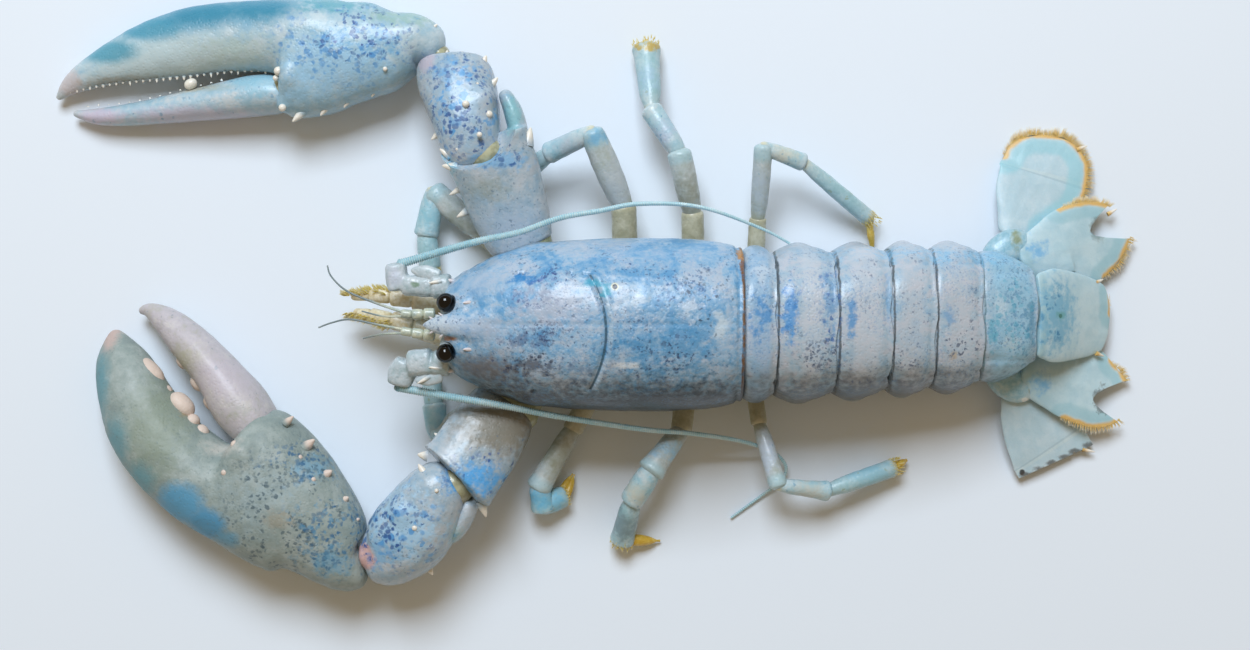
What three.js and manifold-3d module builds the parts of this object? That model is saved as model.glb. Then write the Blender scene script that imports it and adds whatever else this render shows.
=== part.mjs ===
import * as THREE from 'three';
import { mergeVertices } from 'three/addons/utils/BufferGeometryUtils.js';
import Module from 'manifold-3d';

// An American lobster at life size, lying belly down on level ground.
// Lengths are millimetres: +Z is up, the head points to -X and the animal's right side is +Y.
// The origin is on the ground under the middle of the thorax.

// Driving dimensions

const JOINT_GAP = 0.3; // clear space between neighbouring plates
const EYE_RADIUS = 2.9;
const EYE_SPOT = { x: -55.6, out: 7.9, z: 43.5 }; // out is measured from the middle of the head
const HEAD_SHIFT = -0.6; // the head's middle leans a little to the left
const ORBIT_CLEARANCE = 0.9; // room between an eye and the rim of its socket
const ORBIT_SLOT = [-2, 0, 0.6]; // how far each socket runs on forwards and up
const ROSTRUM_TIP_X = -63.2;
const CERVICAL_GROOVE_X = -5.8; // seam between the front and rear of the carapace
const TAIL_PLATE_THICKNESS = 2;
const TELSON_POWER = 0.7;
const WHIP_ROOT_RADIUS = 1.5;
const WHIP_TIP_RADIUS = 0.45;
const WHIP_SOCKET_SHARE = 0.1; // how much of a whip's root its socket makes room for
const WHIP_GAP_SHARE = 0.001; // half of the gap between the two lengths of a whip
const ANTENNULE_RADIUS = 0.45;
const ANTENNULE_TAPER = 0.6;
const LEG_FLATNESS = 0.9;
const KNEE_TAPER = 3; // how far before and past a knee the limb narrows
const KNEE_NARROWING = 0.8;

// A body station is [x, y, level of the widest point, half width, rise to the top, drop to the underside].

const CARAPACE = [
  [-56.5, -0.5, 33, 13.0, 11.5, 10],
  [-50, -0.4, 31, 17.6, 17.2, 11],
  [-40, 0, 29, 22.4, 22.2, 11.5],
  [-24, 0, 27, 26.2, 27.4, 12],
  [-6, 0, 26, 27.4, 30, 12],
  [12, 0, 26, 27.6, 29.8, 12.5],
  [28, 0, 26, 26.6, 28.6, 13],
  [37.2, 0, 26, 24.4, 27, 13],
];
const ROSTRUM = [
  [ROSTRUM_TIP_X, -0.2, 46, 0.6, 0.6],
  [-60, -0.2, 46.2, 2, 1.5],
  [-55, -0.2, 46.8, 3.2, 2.2],
  [-48, -0.2, 48.4, 4.8, 2.2],
  [-40, 0, 49.6, 6, 2],
];
// An eyestalk runs from beside the rostrum to its eye: x, distance out from the head's middle, z, thickness.
const EYESTALK = [[-58.6, 4, 41, 1.6], [-57.4, 6, 42, 2], [-56, 7.9, 43.5, 2]];
const THORAX_UNDERSIDE = [
  [-57, 0, 16, 7, 10, 6],
  [-48, 0, 12, 12, 14, 10],
  [-30, 0, 10, 17, 12, 10.5],
  [0, 0, 9, 19, 12, 9.8],
  [26, 0, 9, 18, 12, 9.8],
  [46.6, 0, 8, 14, 10, 8.4],
];
const RIDGE_POWER = 0.86; // below 1 squares the shoulders of a section
const THORAX_POWER = 0.6;
const PLEURA_POWER = 0.72;

// Abdomen seams, front to back: x, offset of the bent spine, half width, height of the back, and the lowest
// point of the side lobes of the segment behind the seam, before their tips are flattened on the ground.
const ABDOMEN_SEAMS = [
  [37.5, 0, 22.8, 51, 13.4],
  [47.1, 0.2, 22.6, 49.5, -0.3],
  [66.1, 0.6, 22.4, 48, -0.3],
  [83.4, 1.4, 22.0, 45, -0.3],
  [97.5, 2, 21.8, 41.5, -0.3],
  [113.2, 2.6, 20.8, 36.5, 3.2],
  [131.4, 2.9, 14.4, 28.5, 3.2],
];
const ABDOMEN_BULGE = 2.2; // how far each segment swells beyond its seams
const ABDOMEN_BACK_BULGE = 0.8;
const ABDOMEN_SWELL_POWER = 0.7; // below 1 keeps the middle of a segment full
const ABDOMEN_WIDEST_LEVEL = 18;
const ABDOMEN_SEAM_LIFT = 4.5; // how far the side lobes' lower edge rises towards a seam

// The tail blade in the middle: x, y, z, half width, half thickness.
const TELSON = [
  [131.9, 3, 24.5, 13.8, 2.6],
  [138, 2.9, 20.8, 15.4, 2.3],
  [147, 2.6, 13.4, 14, 1.9],
  [154.5, 2.2, 7.9, 12, 1.5],
  [158.6, 2, 6.1, 7.4, 1],
];

// Limb stations are [x, y, z, half width, half thickness], from the root outwards.

const RIGHT_ARM = {
  base: [[-28, 12, 15, 6, 5], [-30, 20, 17, 7.6, 6], [-33, 29.5, 20, 9, 7.2]],
  merus: [[-31, 24, 19, 8.2, 7], [-38, 38.5, 22, 12.4, 8], [-42.8, 52, 25, 14.4, 8.4], [-45, 58, 26, 13, 8]],
  carpus: [[-46.6, 49, 24, 6.5, 7], [-49.2, 57.5, 23, 10, 10.6], [-51.4, 69.5, 21, 12.4, 12.4],
    [-55.2, 79.4, 17, 11.6, 11.6], [-60.6, 86, 14.5, 6, 7]],
  palm: [[-61.5, 89.6, 13.5, 4, 5.5], [-70, 91, 12.6, 7.6, 8.6], [-80, 88, 12.2, 12.8, 11.2],
    [-93, 86.9, 12.2, 16.2, 12.5], [-106, 85.4, 11.6, 18.9, 12], [-112.5, 86.8, 11, 17.8, 11]],
  fixedFinger: [[-104, 92.5, 10.6, 11.6, 11], [-118, 94, 9.6, 11.6, 9.9], [-132, 93.8, 8.6, 11.3, 9],
    [-145, 92.1, 7.6, 10.9, 8], [-158, 88.8, 6.4, 9.2, 6.8], [-171, 84.4, 5.2, 6.4, 5.4],
    [-181.5, 79, 4.4, 3.6, 3.4], [-187, 73.6, 4, 0.9, 1]],
  finger: [[-109, 74.6, 9.6, 5.6, 8], [-119, 74.9, 9.2, 6.9, 8], [-138, 72.2, 7.6, 5.6, 6.6],
    [-158, 69.4, 5.8, 3.9, 5], [-172, 68.3, 4.6, 2.9, 3.6], [-181.4, 69.4, 3.8, 0.9, 1]],
  joints: {
    shoulder: { at: [-32, 26.8, 18.6], facing: [-0.3, 0.93, 0.2] },
    elbow: { at: [-44.6, 53.6, 24.6], facing: [-0.38, 0.92, 0] },
    wrist: { at: [-62.4, 89, 14.5], facing: [-0.86, 0.5, -0.1] },
    knuckle: { at: [-111.6, 74.8, 9.6], facing: [-1, 0, 0] },
  },
};

const LEFT_ARM = {
  base: [[-30, -12, 15, 6, 5], [-33, -20, 17, 8, 6], [-39, -29.5, 20, 11, 7.2]],
  merus: [[-36.6, -24, 19, 10, 7], [-42.6, -31, 21, 13.2, 7.8], [-49.4, -43, 24, 14.2, 8.4],
    [-56, -54, 26, 12.4, 8]],
  carpus: [[-53, -47.5, 24, 6.5, 7], [-60.2, -53, 23.5, 10.4, 10.6], [-68.3, -67, 19.5, 13.8, 12.6],
    [-76.5, -74.2, 16.4, 11, 11], [-84.4, -75, 15, 5.5, 7]],
  palm: [[-83.6, -77, 15, 6.4, 7], [-89.6, -76.8, 15, 10.6, 11], [-99.6, -66.5, 15, 16.8, 14.6],
    [-112.4, -55.6, 15.2, 22, 15.5], [-123.5, -47.5, 15.2, 23.4, 15.4], [-129.8, -43.4, 14.6, 19, 13]],
  fixedFinger: [[-125, -56.5, 14.6, 15.2, 14.6], [-137.6, -50.4, 14.2, 14.6, 14.2],
    [-149.4, -42.2, 13.4, 12.6, 13.2], [-157, -34, 12.2, 11.4, 12], [-162.4, -22.6, 10.4, 9.8, 10],
    [-166.6, -10.6, 7.6, 6.6, 7], [-167.4, -1.6, 5.4, 1.4, 1.6]],
  finger: [[-116.6, -36, 14.4, 7.4, 10], [-124.6, -26.6, 14, 9.4, 11], [-132.4, -16, 12.6, 7.6, 9.6],
    [-141, -7, 10.4, 6.8, 7.8], [-149, 0.4, 8, 5, 5.6], [-155.4, 4.4, 6.4, 2.8, 3.4],
    [-159.4, 4.4, 5.6, 0.9, 1]],
  joints: {
    shoulder: { at: [-37.4, -26.8, 18.6], facing: [-0.45, -0.87, 0.2] },
    elbow: { at: [-54, -51, 25], facing: [-0.85, -0.53, 0] },
    wrist: { at: [-84.6, -74.6, 15], facing: [-0.96, -0.2, 0] },
    knuckle: { at: [-119.4, -34.4, 14.4], facing: [-0.64, 0.77, 0] },
  },
};

// Walking legs, front to back on each side. Thickness is the whole width of the limb at each joint.
const LEGS = {
  right_1: {
    base: [-29, 16, 6], hip: [-45, 29, 6.2], knee: [-62.6, 43, 6.8], ankle: [-65, 30, 6.4],
    toe: [-64, 19, 5.4], tip: [-62.4, 11.6, 3],
    thickness: { hip: 8.4, knee: 8.2, ankle: 8, toe: 6.6, tip: 2.4 },
  },
  right_2: {
    base: [0.4, 16, 7], hip: [-0.4, 38, 14], knee: [-10.6, 61.6, 22], ankle: [-24.6, 55.6, 15],
    toe: [-33, 49, 7], tip: [-39.6, 45.6, 2.4],
    thickness: { hip: 9, knee: 7.2, ankle: 6.6, toe: 5.6, tip: 2.4 },
  },
  right_3: {
    base: [22.4, 16, 7], hip: [22, 36, 12], knee: [17.6, 55.4, 16.5], ankle: [8.6, 69.6, 14],
    toe: [7, 90, 5], tip: [7, 95.6, 3],
    thickness: { hip: 8, knee: 7.4, ankle: 6.8, toe: 8.8, tip: 5.4 },
  },
  right_4: {
    base: [42.4, 16, 7], hip: [43.2, 34, 12], knee: [44.6, 57, 20], ankle: [57.4, 52.6, 16],
    toe: [80, 34.8, 5.4], tip: [81.8, 24, 1],
    thickness: { hip: 6.2, knee: 5.8, ankle: 5.6, toe: 5, tip: 1.6 },
  },
  left_1: {
    base: [-33, -15.6, 5.6], hip: [-47, -26, 5.4], knee: [-61.4, -36.4, 5.6], ankle: [-62.6, -27, 5.6],
    toe: [-63.4, -19, 4.6], tip: [-63.6, -13.6, 3],
    thickness: { hip: 8, knee: 8, ankle: 7.4, toe: 6, tip: 2.4 },
  },
  left_2: {
    base: [-7, -16, 7], hip: [-17, -34, 8.4], knee: [-28.2, -53, 9], ankle: [-26.8, -59, 6.6],
    toe: [-20.6, -56.6, 4.2], tip: [-17, -49.4, 2],
    thickness: { hip: 7.4, knee: 7.8, ankle: 9, toe: 6.6, tip: 2 },
  },
  left_3: {
    base: [20.6, -16, 7], hip: [18.4, -34, 13], knee: [8.6, -46.8, 18], ankle: [2.3, -57, 14],
    toe: [-0.9, -70.6, 4.6], tip: [11.4, -71.4, 1.2],
    thickness: { hip: 7.6, knee: 8.8, ankle: 7.2, toe: 7.6, tip: 1.8 },
  },
  left_4: {
    base: [41.6, -16, 7], hip: [43.6, -32, 11.5], knee: [49.6, -52, 16], ankle: [65.6, -54.2, 11],
    toe: [88, -47, 5.4], tip: [92.6, -44.8, 2.4],
    thickness: { hip: 5.8, knee: 5.8, ankle: 6.4, toe: 5.6, tip: 3 },
  },
};

const ANTENNA = {
  right: {
    base: [[-54.6, 11.4, 36, 4.2, 4.4], [-61, 10.6, 35, 5, 4.6], [-68, 11.4, 34, 4.2, 4],
      [-72.6, 15, 33.6, 3.6, 3.6], [-72.8, 20.6, 33.8, 3, 3]],
    whip: [[-70.4, 19.4, 34.2], [-58.3, 22.9, 36.4], [-45.6, 26.3, 38.4], [-32.9, 29, 39.6],
      [-20.4, 33.4, 39.8], [-7.8, 35.7, 38.8], [4.7, 38, 37], [23.7, 37.2, 33], [43, 30.7, 29],
      [52.6, 25.8, 27.4]],
  },
  left: {
    base: [[-54.6, -12, 36, 4.2, 4.4], [-61, -11.4, 35, 5, 4.6], [-68, -11.8, 34, 4.2, 4],
      [-72.6, -14.6, 33, 3.6, 3.6], [-72.8, -20.4, 32.6, 3, 3]],
    whip: [[-70.4, -20.2, 32.2], [-58.5, -22.3, 33], [-39.6, -25.5, 33], [-23.8, -28.7, 31.4],
      [-8, -31.4, 28.4], [8, -33.8, 24.6], [20.9, -35, 20.6], [36.4, -37.6, 13.6], [47.8, -41.4, 7.4],
      [52.8, -46.4, 4], [51.6, -51.6, 2.2], [46, -55.8, 1.2], [35, -63.9, 0.6]],
  },
};
const WHIP_SPLIT = 0.5; // share of a whip's length in its near half

const ANTENNULES = {
  right: { stalk: [[-60.4, 3.4, 40, 1.9, 1.8], [-66, 3.2, 40, 2, 1.9], [-70, 3.4, 39.6, 1.4, 1.3]],
    whips: [[[-69.4, 3.8, 39.6], [-78, 6.6, 37.6], [-87.4, 10.4, 36], [-92.6, 15, 35], [-94, 18.6, 34.6]],
      [[-69.4, 2.6, 39.4], [-76, 2.6, 37.6], [-83, 4.2, 35.4]]] },
  left: { stalk: [[-60.4, -3.4, 40, 1.9, 1.8], [-66, -2.8, 40, 2, 1.9], [-70, -2, 39.6, 1.4, 1.3]],
    whips: [[[-69.4, -1.6, 39.6], [-78, 0, 37.6], [-86.6, 1.6, 36], [-92.4, 0.6, 35], [-96.8, -1, 34.6]],
      [[-69.4, -2.8, 39.4], [-76, -3, 37.6], [-82.6, -4.4, 35.4]]] },
};

const MAXILLIPEDS = {
  right: [[-50, 6, 14, 3.6, 3.6], [-60, 7, 17, 4, 3.8], [-70, 8.6, 18.6, 3.6, 3.4], [-80, 9.4, 17, 3, 2.8],
    [-89, 9, 14, 1.4, 1.4]],
  left: [[-50, -6, 14, 3.6, 3.6], [-60, -3, 16, 4, 3.8], [-70, 0, 16.4, 3.6, 3.4], [-80, 2.6, 14.6, 3, 2.8],
    [-88.4, 4.2, 11.6, 1.4, 1.4]],
};

// Tail fan outlines seen from above, each from the root round the rim.
const TAIL_FAN = {
  uropod_outer_right: {
    root: [[121.6, 28.4], [130.4, 28.4]],
    rim: [[141, 34], [151.4, 42.6], [152.4, 49.2], [149.8, 57.2], [143.2, 61.6], [134.9, 63.2], [126.8, 61],
      [124, 54.8], [120.8, 45.9], [120, 37.6]],
    rootHeight: 7.4, rimHeight: 0.9, towards: [0.25, 1],
  },
  uropod_inner_right: {
    root: [[131.4, 28.4], [133.4, 20.6]],
    rim: [[142, 18.4], [154.4, 14.6], [161.6, 15.4], [165.2, 20.8], [163.4, 28.8], [153.8, 31],
      [157.6, 35.9], [159.2, 37.9], [154.8, 41], [143, 39.9]],
    rootHeight: 11.4, rimHeight: 3.6, towards: [1, 0.25],
  },
  uropod_outer_left: {
    root: [[132, -26.4], [123.6, -20.8]],
    rim: [[123, -28.6], [124.2, -38.4], [127.2, -49.8], [132.1, -50.8], [139.2, -45.6], [144.8, -42.2],
      [155, -40.6], [154.8, -36.6], [143, -31.6]],
    rootHeight: 7.4, rimHeight: 0.9, towards: [0.3, -1],
  },
  uropod_inner_left: {
    root: [[134, -14.6], [132.6, -23.2]],
    rim: [[143, -30.8], [154.8, -35.5], [160.5, -31.5], [159.8, -28.3], [155.2, -22.7], [162.5, -21.3],
      [165.1, -17.7], [162.6, -8.7], [153, -8.6]],
    rootHeight: 11.4, rimHeight: 3.6, towards: [1, -0.2],
  },
};
const UROPOD_ROOTS = {
  uropod_root_right: [[120.4, 22.6, 8.4, 4.4, 3.4], [126.4, 25, 8.6, 5.4, 3.4], [131.4, 24, 8.8, 3.6, 3]],
  uropod_root_left: [[122, -17, 8.4, 4.4, 3.4], [126.8, -19.2, 8.6, 5.4, 3.4], [131.8, -18.4, 8.8, 3.6, 3]],
};

// Spines and knobs: [x, y, z] of the foot, [x, y, z] of the tip, radius at the foot.
const ROSTRUM_SPINES = [
  [[-57.4, 2.6, 46.4], [-60.4, 4.6, 46.6], 0.8],
  [[-57.4, -2.6, 46.4], [-60.4, -4.6, 46.6], 0.8],
  [[-52.6, 3.2, 48], [-55.6, 5, 47.8], 0.8],
  [[-52.6, -3.2, 48], [-55.6, -5, 47.8], 0.8],
  [[-46.4, 7.4, 47.4], [-50.6, 7.2, 49], 1],
  [[-46.4, -7.4, 47.4], [-50.6, -7.2, 49], 1],
];
const ARM_SPINES = {
  carpus_right: [
    [[-57.6, 84, 20], [-56.8, 88.6, 21], 1.6], [[-47, 79.4, 20], [-43.4, 84.6, 22], 1.8],
    [[-42, 74, 22], [-38.6, 77, 23.4], 1.6], [[-59, 62, 22], [-63, 58.6, 23], 1.6],
  ],
  merus_right: [
    [[-53.6, 50, 27], [-59.2, 50.4, 28.6], 2], [[-31.6, 58, 25], [-30, 64, 25], 2],
    [[-52, 44, 23], [-58, 40.6, 23], 1.8],
  ],
  palm_right: [
    [[-104, 69.4, 15], [-107.6, 65.6, 16.4], 2], [[-96, 71.6, 15], [-98.6, 67.6, 16], 1.8],
    [[-88.4, 74.6, 15], [-91, 70.2, 16], 1.8], [[-79.6, 79, 15], [-82, 73.6, 16], 1.8],
    [[-64, 94, 17], [-60.6, 97, 18], 1.6],
  ],
  carpus_left: [
    [[-62.6, -50, 27], [-66.4, -43.6, 27.4], 2], [[-72, -60, 24], [-76.6, -54.6, 24], 1.8],
    [[-64, -76, 21], [-61, -81, 22], 1.8], [[-72, -78, 19], [-71.4, -83.8, 20], 1.8],
  ],
  merus_left: [
    [[-48, -55.6, 24], [-45.8, -62, 22.6], 2], [[-40, -44.6, 24], [-34.8, -43.4, 23.6], 2],
    [[-58, -40, 24], [-62.6, -36.6, 23], 1.8],
  ],
  palm_left: [
    [[-103.6, -38.6, 20], [-100.6, -35, 21], 1.8], [[-98, -47, 20], [-94.4, -44.6, 21], 1.8],
    [[-92.8, -56, 19], [-89.2, -54, 20], 1.8], [[-90.4, -64.6, 18], [-86, -62.8, 18.6], 1.8],
  ],
};
// Crushing and cutting teeth: x, y, z and radius of each rounded tooth.
const FIXED_FINGER_TEETH = {
  left: [[-153.4, -15.4, 12, 5.2], [-149.6, -20.4, 12.4, 3], [-145.4, -26.4, 13, 4.4],
    [-142.6, -31.6, 13.4, 2.8]],
  right: [[-128, 82, 9, 1.2], [-140, 81.2, 8.4, 1.2], [-152, 80, 7.6, 1.2], [-164, 78.8, 6.6, 1.2]],
};
const MOVING_FINGER_TEETH = {
  left: [[-142.6, -13.6, 11.4, 3.4], [-138, -20.4, 12.4, 3]],
  right: [[-141.6, 77.2, 8.6, 2], [-152, 73.6, 7, 1.1], [-162, 71.8, 6, 1.1]],
};

// Colours

const finish = (color, roughness) => new THREE.MeshStandardMaterial({ color, roughness, metalness: 0 });
const FINISHES = {
  frontShell: finish('#a9b9d6', 0.32),
  rearShell: finish('#8fb6dd', 0.3),
  tailShell: finish('#a3bfd8', 0.32),
  fan: finish('#b3ced4', 0.36),
  claw: finish('#9bbcc6', 0.34),
  finger: finish('#c3ccd6', 0.36),
  arm: finish('#a3c1de', 0.32),
  leg: finish('#a9c2c8', 0.38),
  belly: finish('#b9b8a4', 0.5),
  whip: finish('#9ec6cf', 0.42),
  mouth: finish('#b5b29a', 0.48),
  eye: finish('#0b0b0d', 0.08),
  stalk: finish('#8fa6b8', 0.4),
};

// Solids

const UP = new THREE.Vector3(0, 0, 1);
const TAILWARD = new THREE.Vector3(1, 0, 0);
const CUTTING_BLOCK = 600;
const DIRECTION_STEP = 0.004; // share of a route over which its direction is taken
const SPINE_TIP = 0.15; // a spine's tip radius as a share of its foot's

const wasm = await Module();
wasm.setup();

function solidFrom(geometry) {
  const bare = geometry.clone();
  bare.deleteAttribute('normal');
  bare.deleteAttribute('uv');
  const merged = mergeVertices(bare, 1e-4);
  return new wasm.Manifold(new wasm.Mesh({
    numProp: 3,
    vertProperties: new Float32Array(merged.attributes.position.array),
    triVerts: new Uint32Array(merged.index.array),
  }));
}

function geometryFrom(solid, pivot) {
  const { vertProperties, triVerts } = solid.getMesh();
  const geometry = new THREE.BufferGeometry();
  geometry.setAttribute('position', new THREE.BufferAttribute(vertProperties, 3));
  geometry.setIndex(new THREE.BufferAttribute(triVerts, 1));
  geometry.translate(-pivot[0], -pivot[1], -pivot[2]);
  geometry.computeVertexNormals();
  return geometry;
}

// One spline for each number of the stations, so that all of them change together along the part.
function splinesThrough(stations) {
  return stations[0].map((_, column) => new THREE.SplineCurve(
    stations.map((station, row) => new THREE.Vector2(row, station[column])),
  ));
}

const signedPower = (value, power) => Math.sign(value) * Math.abs(value) ** power;

// A closed skin through rounded sections, made by laying out the rings of a cylinder one by one.
// The sections stand square to the route, or to a fixed direction where one is given.
function loft(stations, { sides = 10, rowsBetween = 2, power = 1, grow = 0, facing } = {}) {
  const splines = splinesThrough(stations);
  const at = (share) => splines.map((spline) => spline.getPoint(share).y);
  const tube = new THREE.CylinderGeometry(1, 1, 1, sides, (stations.length - 1) * rowsBetween);
  const places = tube.attributes.position;
  for (let i = 0; i < places.count; i += 1) {
    const share = places.getY(i) + 0.5;
    const [x, y, z, halfWidth, rise, drop = rise] = at(share);
    const before = new THREE.Vector3(...at(Math.max(share - DIRECTION_STEP, 0)));
    const after = new THREE.Vector3(...at(Math.min(share + DIRECTION_STEP, 1)));
    const along = facing ? facing.clone() : after.sub(before).normalize();
    const side = along.clone().cross(UP).normalize();
    const top = side.clone().cross(along);
    const across = signedPower(places.getX(i), power) * (halfWidth + grow);
    const upward = signedPower(places.getZ(i), power) * ((places.getZ(i) > 0 ? rise : drop) + grow);
    const place = new THREE.Vector3(x, y, z).addScaledVector(side, across).addScaledVector(top, upward);
    places.setXYZ(i, place.x, place.y, place.z);
  }
  return solidFrom(tube);
}

// A block that fills the space beyond a plane through a point.
function blockBeyond(point, facing) {
  const block = new THREE.BoxGeometry(CUTTING_BLOCK, CUTTING_BLOCK, CUTTING_BLOCK);
  block.translate(0, 0, CUTTING_BLOCK / 2);
  block.applyQuaternion(new THREE.Quaternion().setFromUnitVectors(UP, facing));
  block.translate(point.x, point.y, point.z);
  return solidFrom(block);
}

const aboveGround = (solid) => solid.intersect(blockBeyond(new THREE.Vector3(), UP));

// Takes off what lies past a joint, or before it, and leaves half of the joint's gap.
function cutAtJoint(solid, joint, past) {
  const facing = new THREE.Vector3(...joint.facing).normalize().multiplyScalar(past ? 1 : -1);
  const point = new THREE.Vector3(...joint.at).addScaledVector(facing, -JOINT_GAP / 2);
  return solid.subtract(blockBeyond(point, facing));
}

function ball([x, y, z], radius, sides = 6) {
  const sphere = new THREE.SphereGeometry(radius, sides, Math.max(4, sides / 2));
  sphere.translate(x, y, z);
  return solidFrom(sphere);
}

function spine([foot, tip, radius]) {
  const start = new THREE.Vector3(...foot);
  const reach = new THREE.Vector3(...tip).sub(start);
  const cone = new THREE.CylinderGeometry(radius * SPINE_TIP, radius, reach.length(), 5);
  cone.translate(0, reach.length() / 2, 0);
  const turn = new THREE.Quaternion().setFromUnitVectors(new THREE.Vector3(0, 1, 0), reach.normalize());
  cone.applyQuaternion(turn);
  cone.translate(start.x, start.y, start.z);
  return solidFrom(cone);
}

const joined = (solids) => solids.reduce((whole, next) => whole.add(next));
const withSpines = (solid, spines) => joined([solid, ...spines.map(spine)]);
const tooth = ([x, y, z, radius]) => ball([x, y, z], radius);
const withTeeth = (solid, teeth) => joined([solid, ...teeth.map(tooth)]);

// A thin feeler: a small polygon swept along a smooth route, thinner towards its tip.
function feeler(points, rootRadius, tipRadius, { from = 0, to = 1, sides = 5, steps = 12 } = {}) {
  const route = new THREE.CatmullRomCurve3(points.map((point) => new THREE.Vector3(...point)));
  const stretch = new THREE.CatmullRomCurve3(
    Array.from({ length: steps + 1 }, (_, i) => route.getPointAt(THREE.MathUtils.lerp(from, to, i / steps))),
  );
  const section = new THREE.Shape();
  for (let i = 0; i < sides; i += 1) {
    const angle = (i / sides) * 2 * Math.PI;
    section[i === 0 ? 'moveTo' : 'lineTo'](Math.cos(angle), Math.sin(angle));
  }
  section.closePath();
  const tube = new THREE.ExtrudeGeometry(section, { steps, extrudePath: stretch, bevelEnabled: false });
  const places = tube.attributes.position;
  const place = new THREE.Vector3();
  const rings = Array.from({ length: steps + 1 }, (_, i) => stretch.getPointAt(i / steps));
  for (let i = 0; i < places.count; i += 1) {
    place.fromBufferAttribute(places, i);
    const nearest = rings.reduce((best, ring, k) => (
      ring.distanceToSquared(place) < rings[best].distanceToSquared(place) ? k : best), 0);
    const share = THREE.MathUtils.lerp(from, to, nearest / steps);
    const radius = THREE.MathUtils.lerp(rootRadius, tipRadius, share);
    place.sub(rings[nearest]).multiplyScalar(radius).add(rings[nearest]);
    places.setXYZ(i, place.x, place.y, place.z);
  }
  return solidFrom(tube);
}

// The scene graph

const lobster = new THREE.Group();

function addGroup(root) {
  const group = new THREE.Group();
  group.position.set(...root);
  lobster.add(group);
  return group;
}

// Adds a sub-part with its pivot at a real joint; the mesh is placed inside its group.
function addPart(group, name, solid, pivot, material) {
  const mesh = new THREE.Mesh(geometryFrom(solid, pivot), material);
  mesh.name = name;
  mesh.position.set(...pivot).sub(group.position);
  group.add(mesh);
}

// Body

const bodyOptions = { sides: 20, rowsBetween: 1, power: RIDGE_POWER, facing: TAILWARD };
const carapace = loft(CARAPACE, bodyOptions);
const carapaceRoom = loft(CARAPACE, { ...bodyOptions, grow: JOINT_GAP });
const groove = { at: [CERVICAL_GROOVE_X, 0, 0], facing: [1, 0, 0] };
const thoraxOptions = { sides: 10, rowsBetween: 1, power: THORAX_POWER, facing: TAILWARD };
const thorax = loft(THORAX_UNDERSIDE, thoraxOptions).subtract(carapaceRoom)
  .subtract(abdomenSegment(0, JOINT_GAP)).subtract(abdomenSegment(1, JOINT_GAP));
const thoraxRoom = loft(THORAX_UNDERSIDE, { ...thoraxOptions, grow: JOINT_GAP });
const bodyRoom = joined([carapaceRoom, thoraxRoom, abdomenSegment(0, JOINT_GAP)]);

const eyeSpot = (sign) => [EYE_SPOT.x, HEAD_SHIFT + sign * EYE_SPOT.out, EYE_SPOT.z];

function addBody() {
  const body = addGroup([0, 0, 0]);
  const orbits = [1, -1].map((sign) => ball(eyeSpot(sign), EYE_RADIUS + ORBIT_CLEARANCE, 8));
  const front = withSpines(carapace.add(loft(ROSTRUM, { sides: 8, rowsBetween: 1 })), ROSTRUM_SPINES);
  const orbitRoom = joined([...orbits, ...orbits.map((orbit) => orbit.translate(ORBIT_SLOT))]);
  addPart(body, 'carapace_front', cutAtJoint(front, groove, true).subtract(orbitRoom),
    [CERVICAL_GROOVE_X, 0, 30], FINISHES.frontShell);
  addPart(body, 'carapace_rear', cutAtJoint(carapace, groove, false), [CERVICAL_GROOVE_X, 0, 30],
    FINISHES.rearShell);
  addPart(body, 'thorax_underside', aboveGround(thorax), [0, 0, 0], FINISHES.belly);
  return body;
}

function addEyes(body) {
  for (const [side, sign] of [['right', 1], ['left', -1]]) {
    const spot = eyeSpot(sign);
    const room = ball(spot, EYE_RADIUS + JOINT_GAP, 8);
    const stations = EYESTALK.map(([x, out, z, radius]) => [x, HEAD_SHIFT + sign * out, z, radius, radius]);
    const stalk = loft(stations, { sides: 8, rowsBetween: 1 }).subtract(room).subtract(carapaceRoom);
    addPart(body, `eye_${side}`, ball(spot, EYE_RADIUS, 8), spot, FINISHES.eye);
    addPart(body, `eyestalk_${side}`, stalk, stations[0].slice(0, 3), FINISHES.stalk);
  }
}

// Abdomen and tail fan

// One ring of the abdomen between two seams, with its side lobes hanging to the ground.
function abdomenSegment(i, grow = 0) {
  const [x0, y0, width0, top0, lobe] = ABDOMEN_SEAMS[i];
  const [x1, y1, width1, top1] = ABDOMEN_SEAMS[i + 1];
  const level = ABDOMEN_WIDEST_LEVEL;
  const stationAt = (share) => {
    const swell = Math.sin(Math.PI * share) ** ABDOMEN_SWELL_POWER;
    return [
      THREE.MathUtils.lerp(x0 + JOINT_GAP / 2 - grow, x1 - JOINT_GAP / 2 + grow, share),
      THREE.MathUtils.lerp(y0, y1, share),
      level,
      THREE.MathUtils.lerp(width0, width1, share) + ABDOMEN_BULGE * swell,
      THREE.MathUtils.lerp(top0, top1, share) - level + ABDOMEN_BACK_BULGE * swell,
      level - THREE.MathUtils.lerp(lobe + ABDOMEN_SEAM_LIFT, lobe, swell),
    ];
  };
  return loft([0, 0.2, 0.5, 0.8, 1].map(stationAt),
    { sides: 18, rowsBetween: 1, power: PLEURA_POWER, facing: TAILWARD, grow });
}

function addAbdomen() {
  const abdomen = addGroup([ABDOMEN_SEAMS[0][0], 0, 0]);
  for (let i = 0; i + 1 < ABDOMEN_SEAMS.length; i += 1) {
    const [x, y] = ABDOMEN_SEAMS[i];
    addPart(abdomen, `abdomen_${i + 1}`, aboveGround(abdomenSegment(i)), [x, y, ABDOMEN_WIDEST_LEVEL],
      FINISHES.tailShell);
  }
  return abdomen;
}

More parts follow.
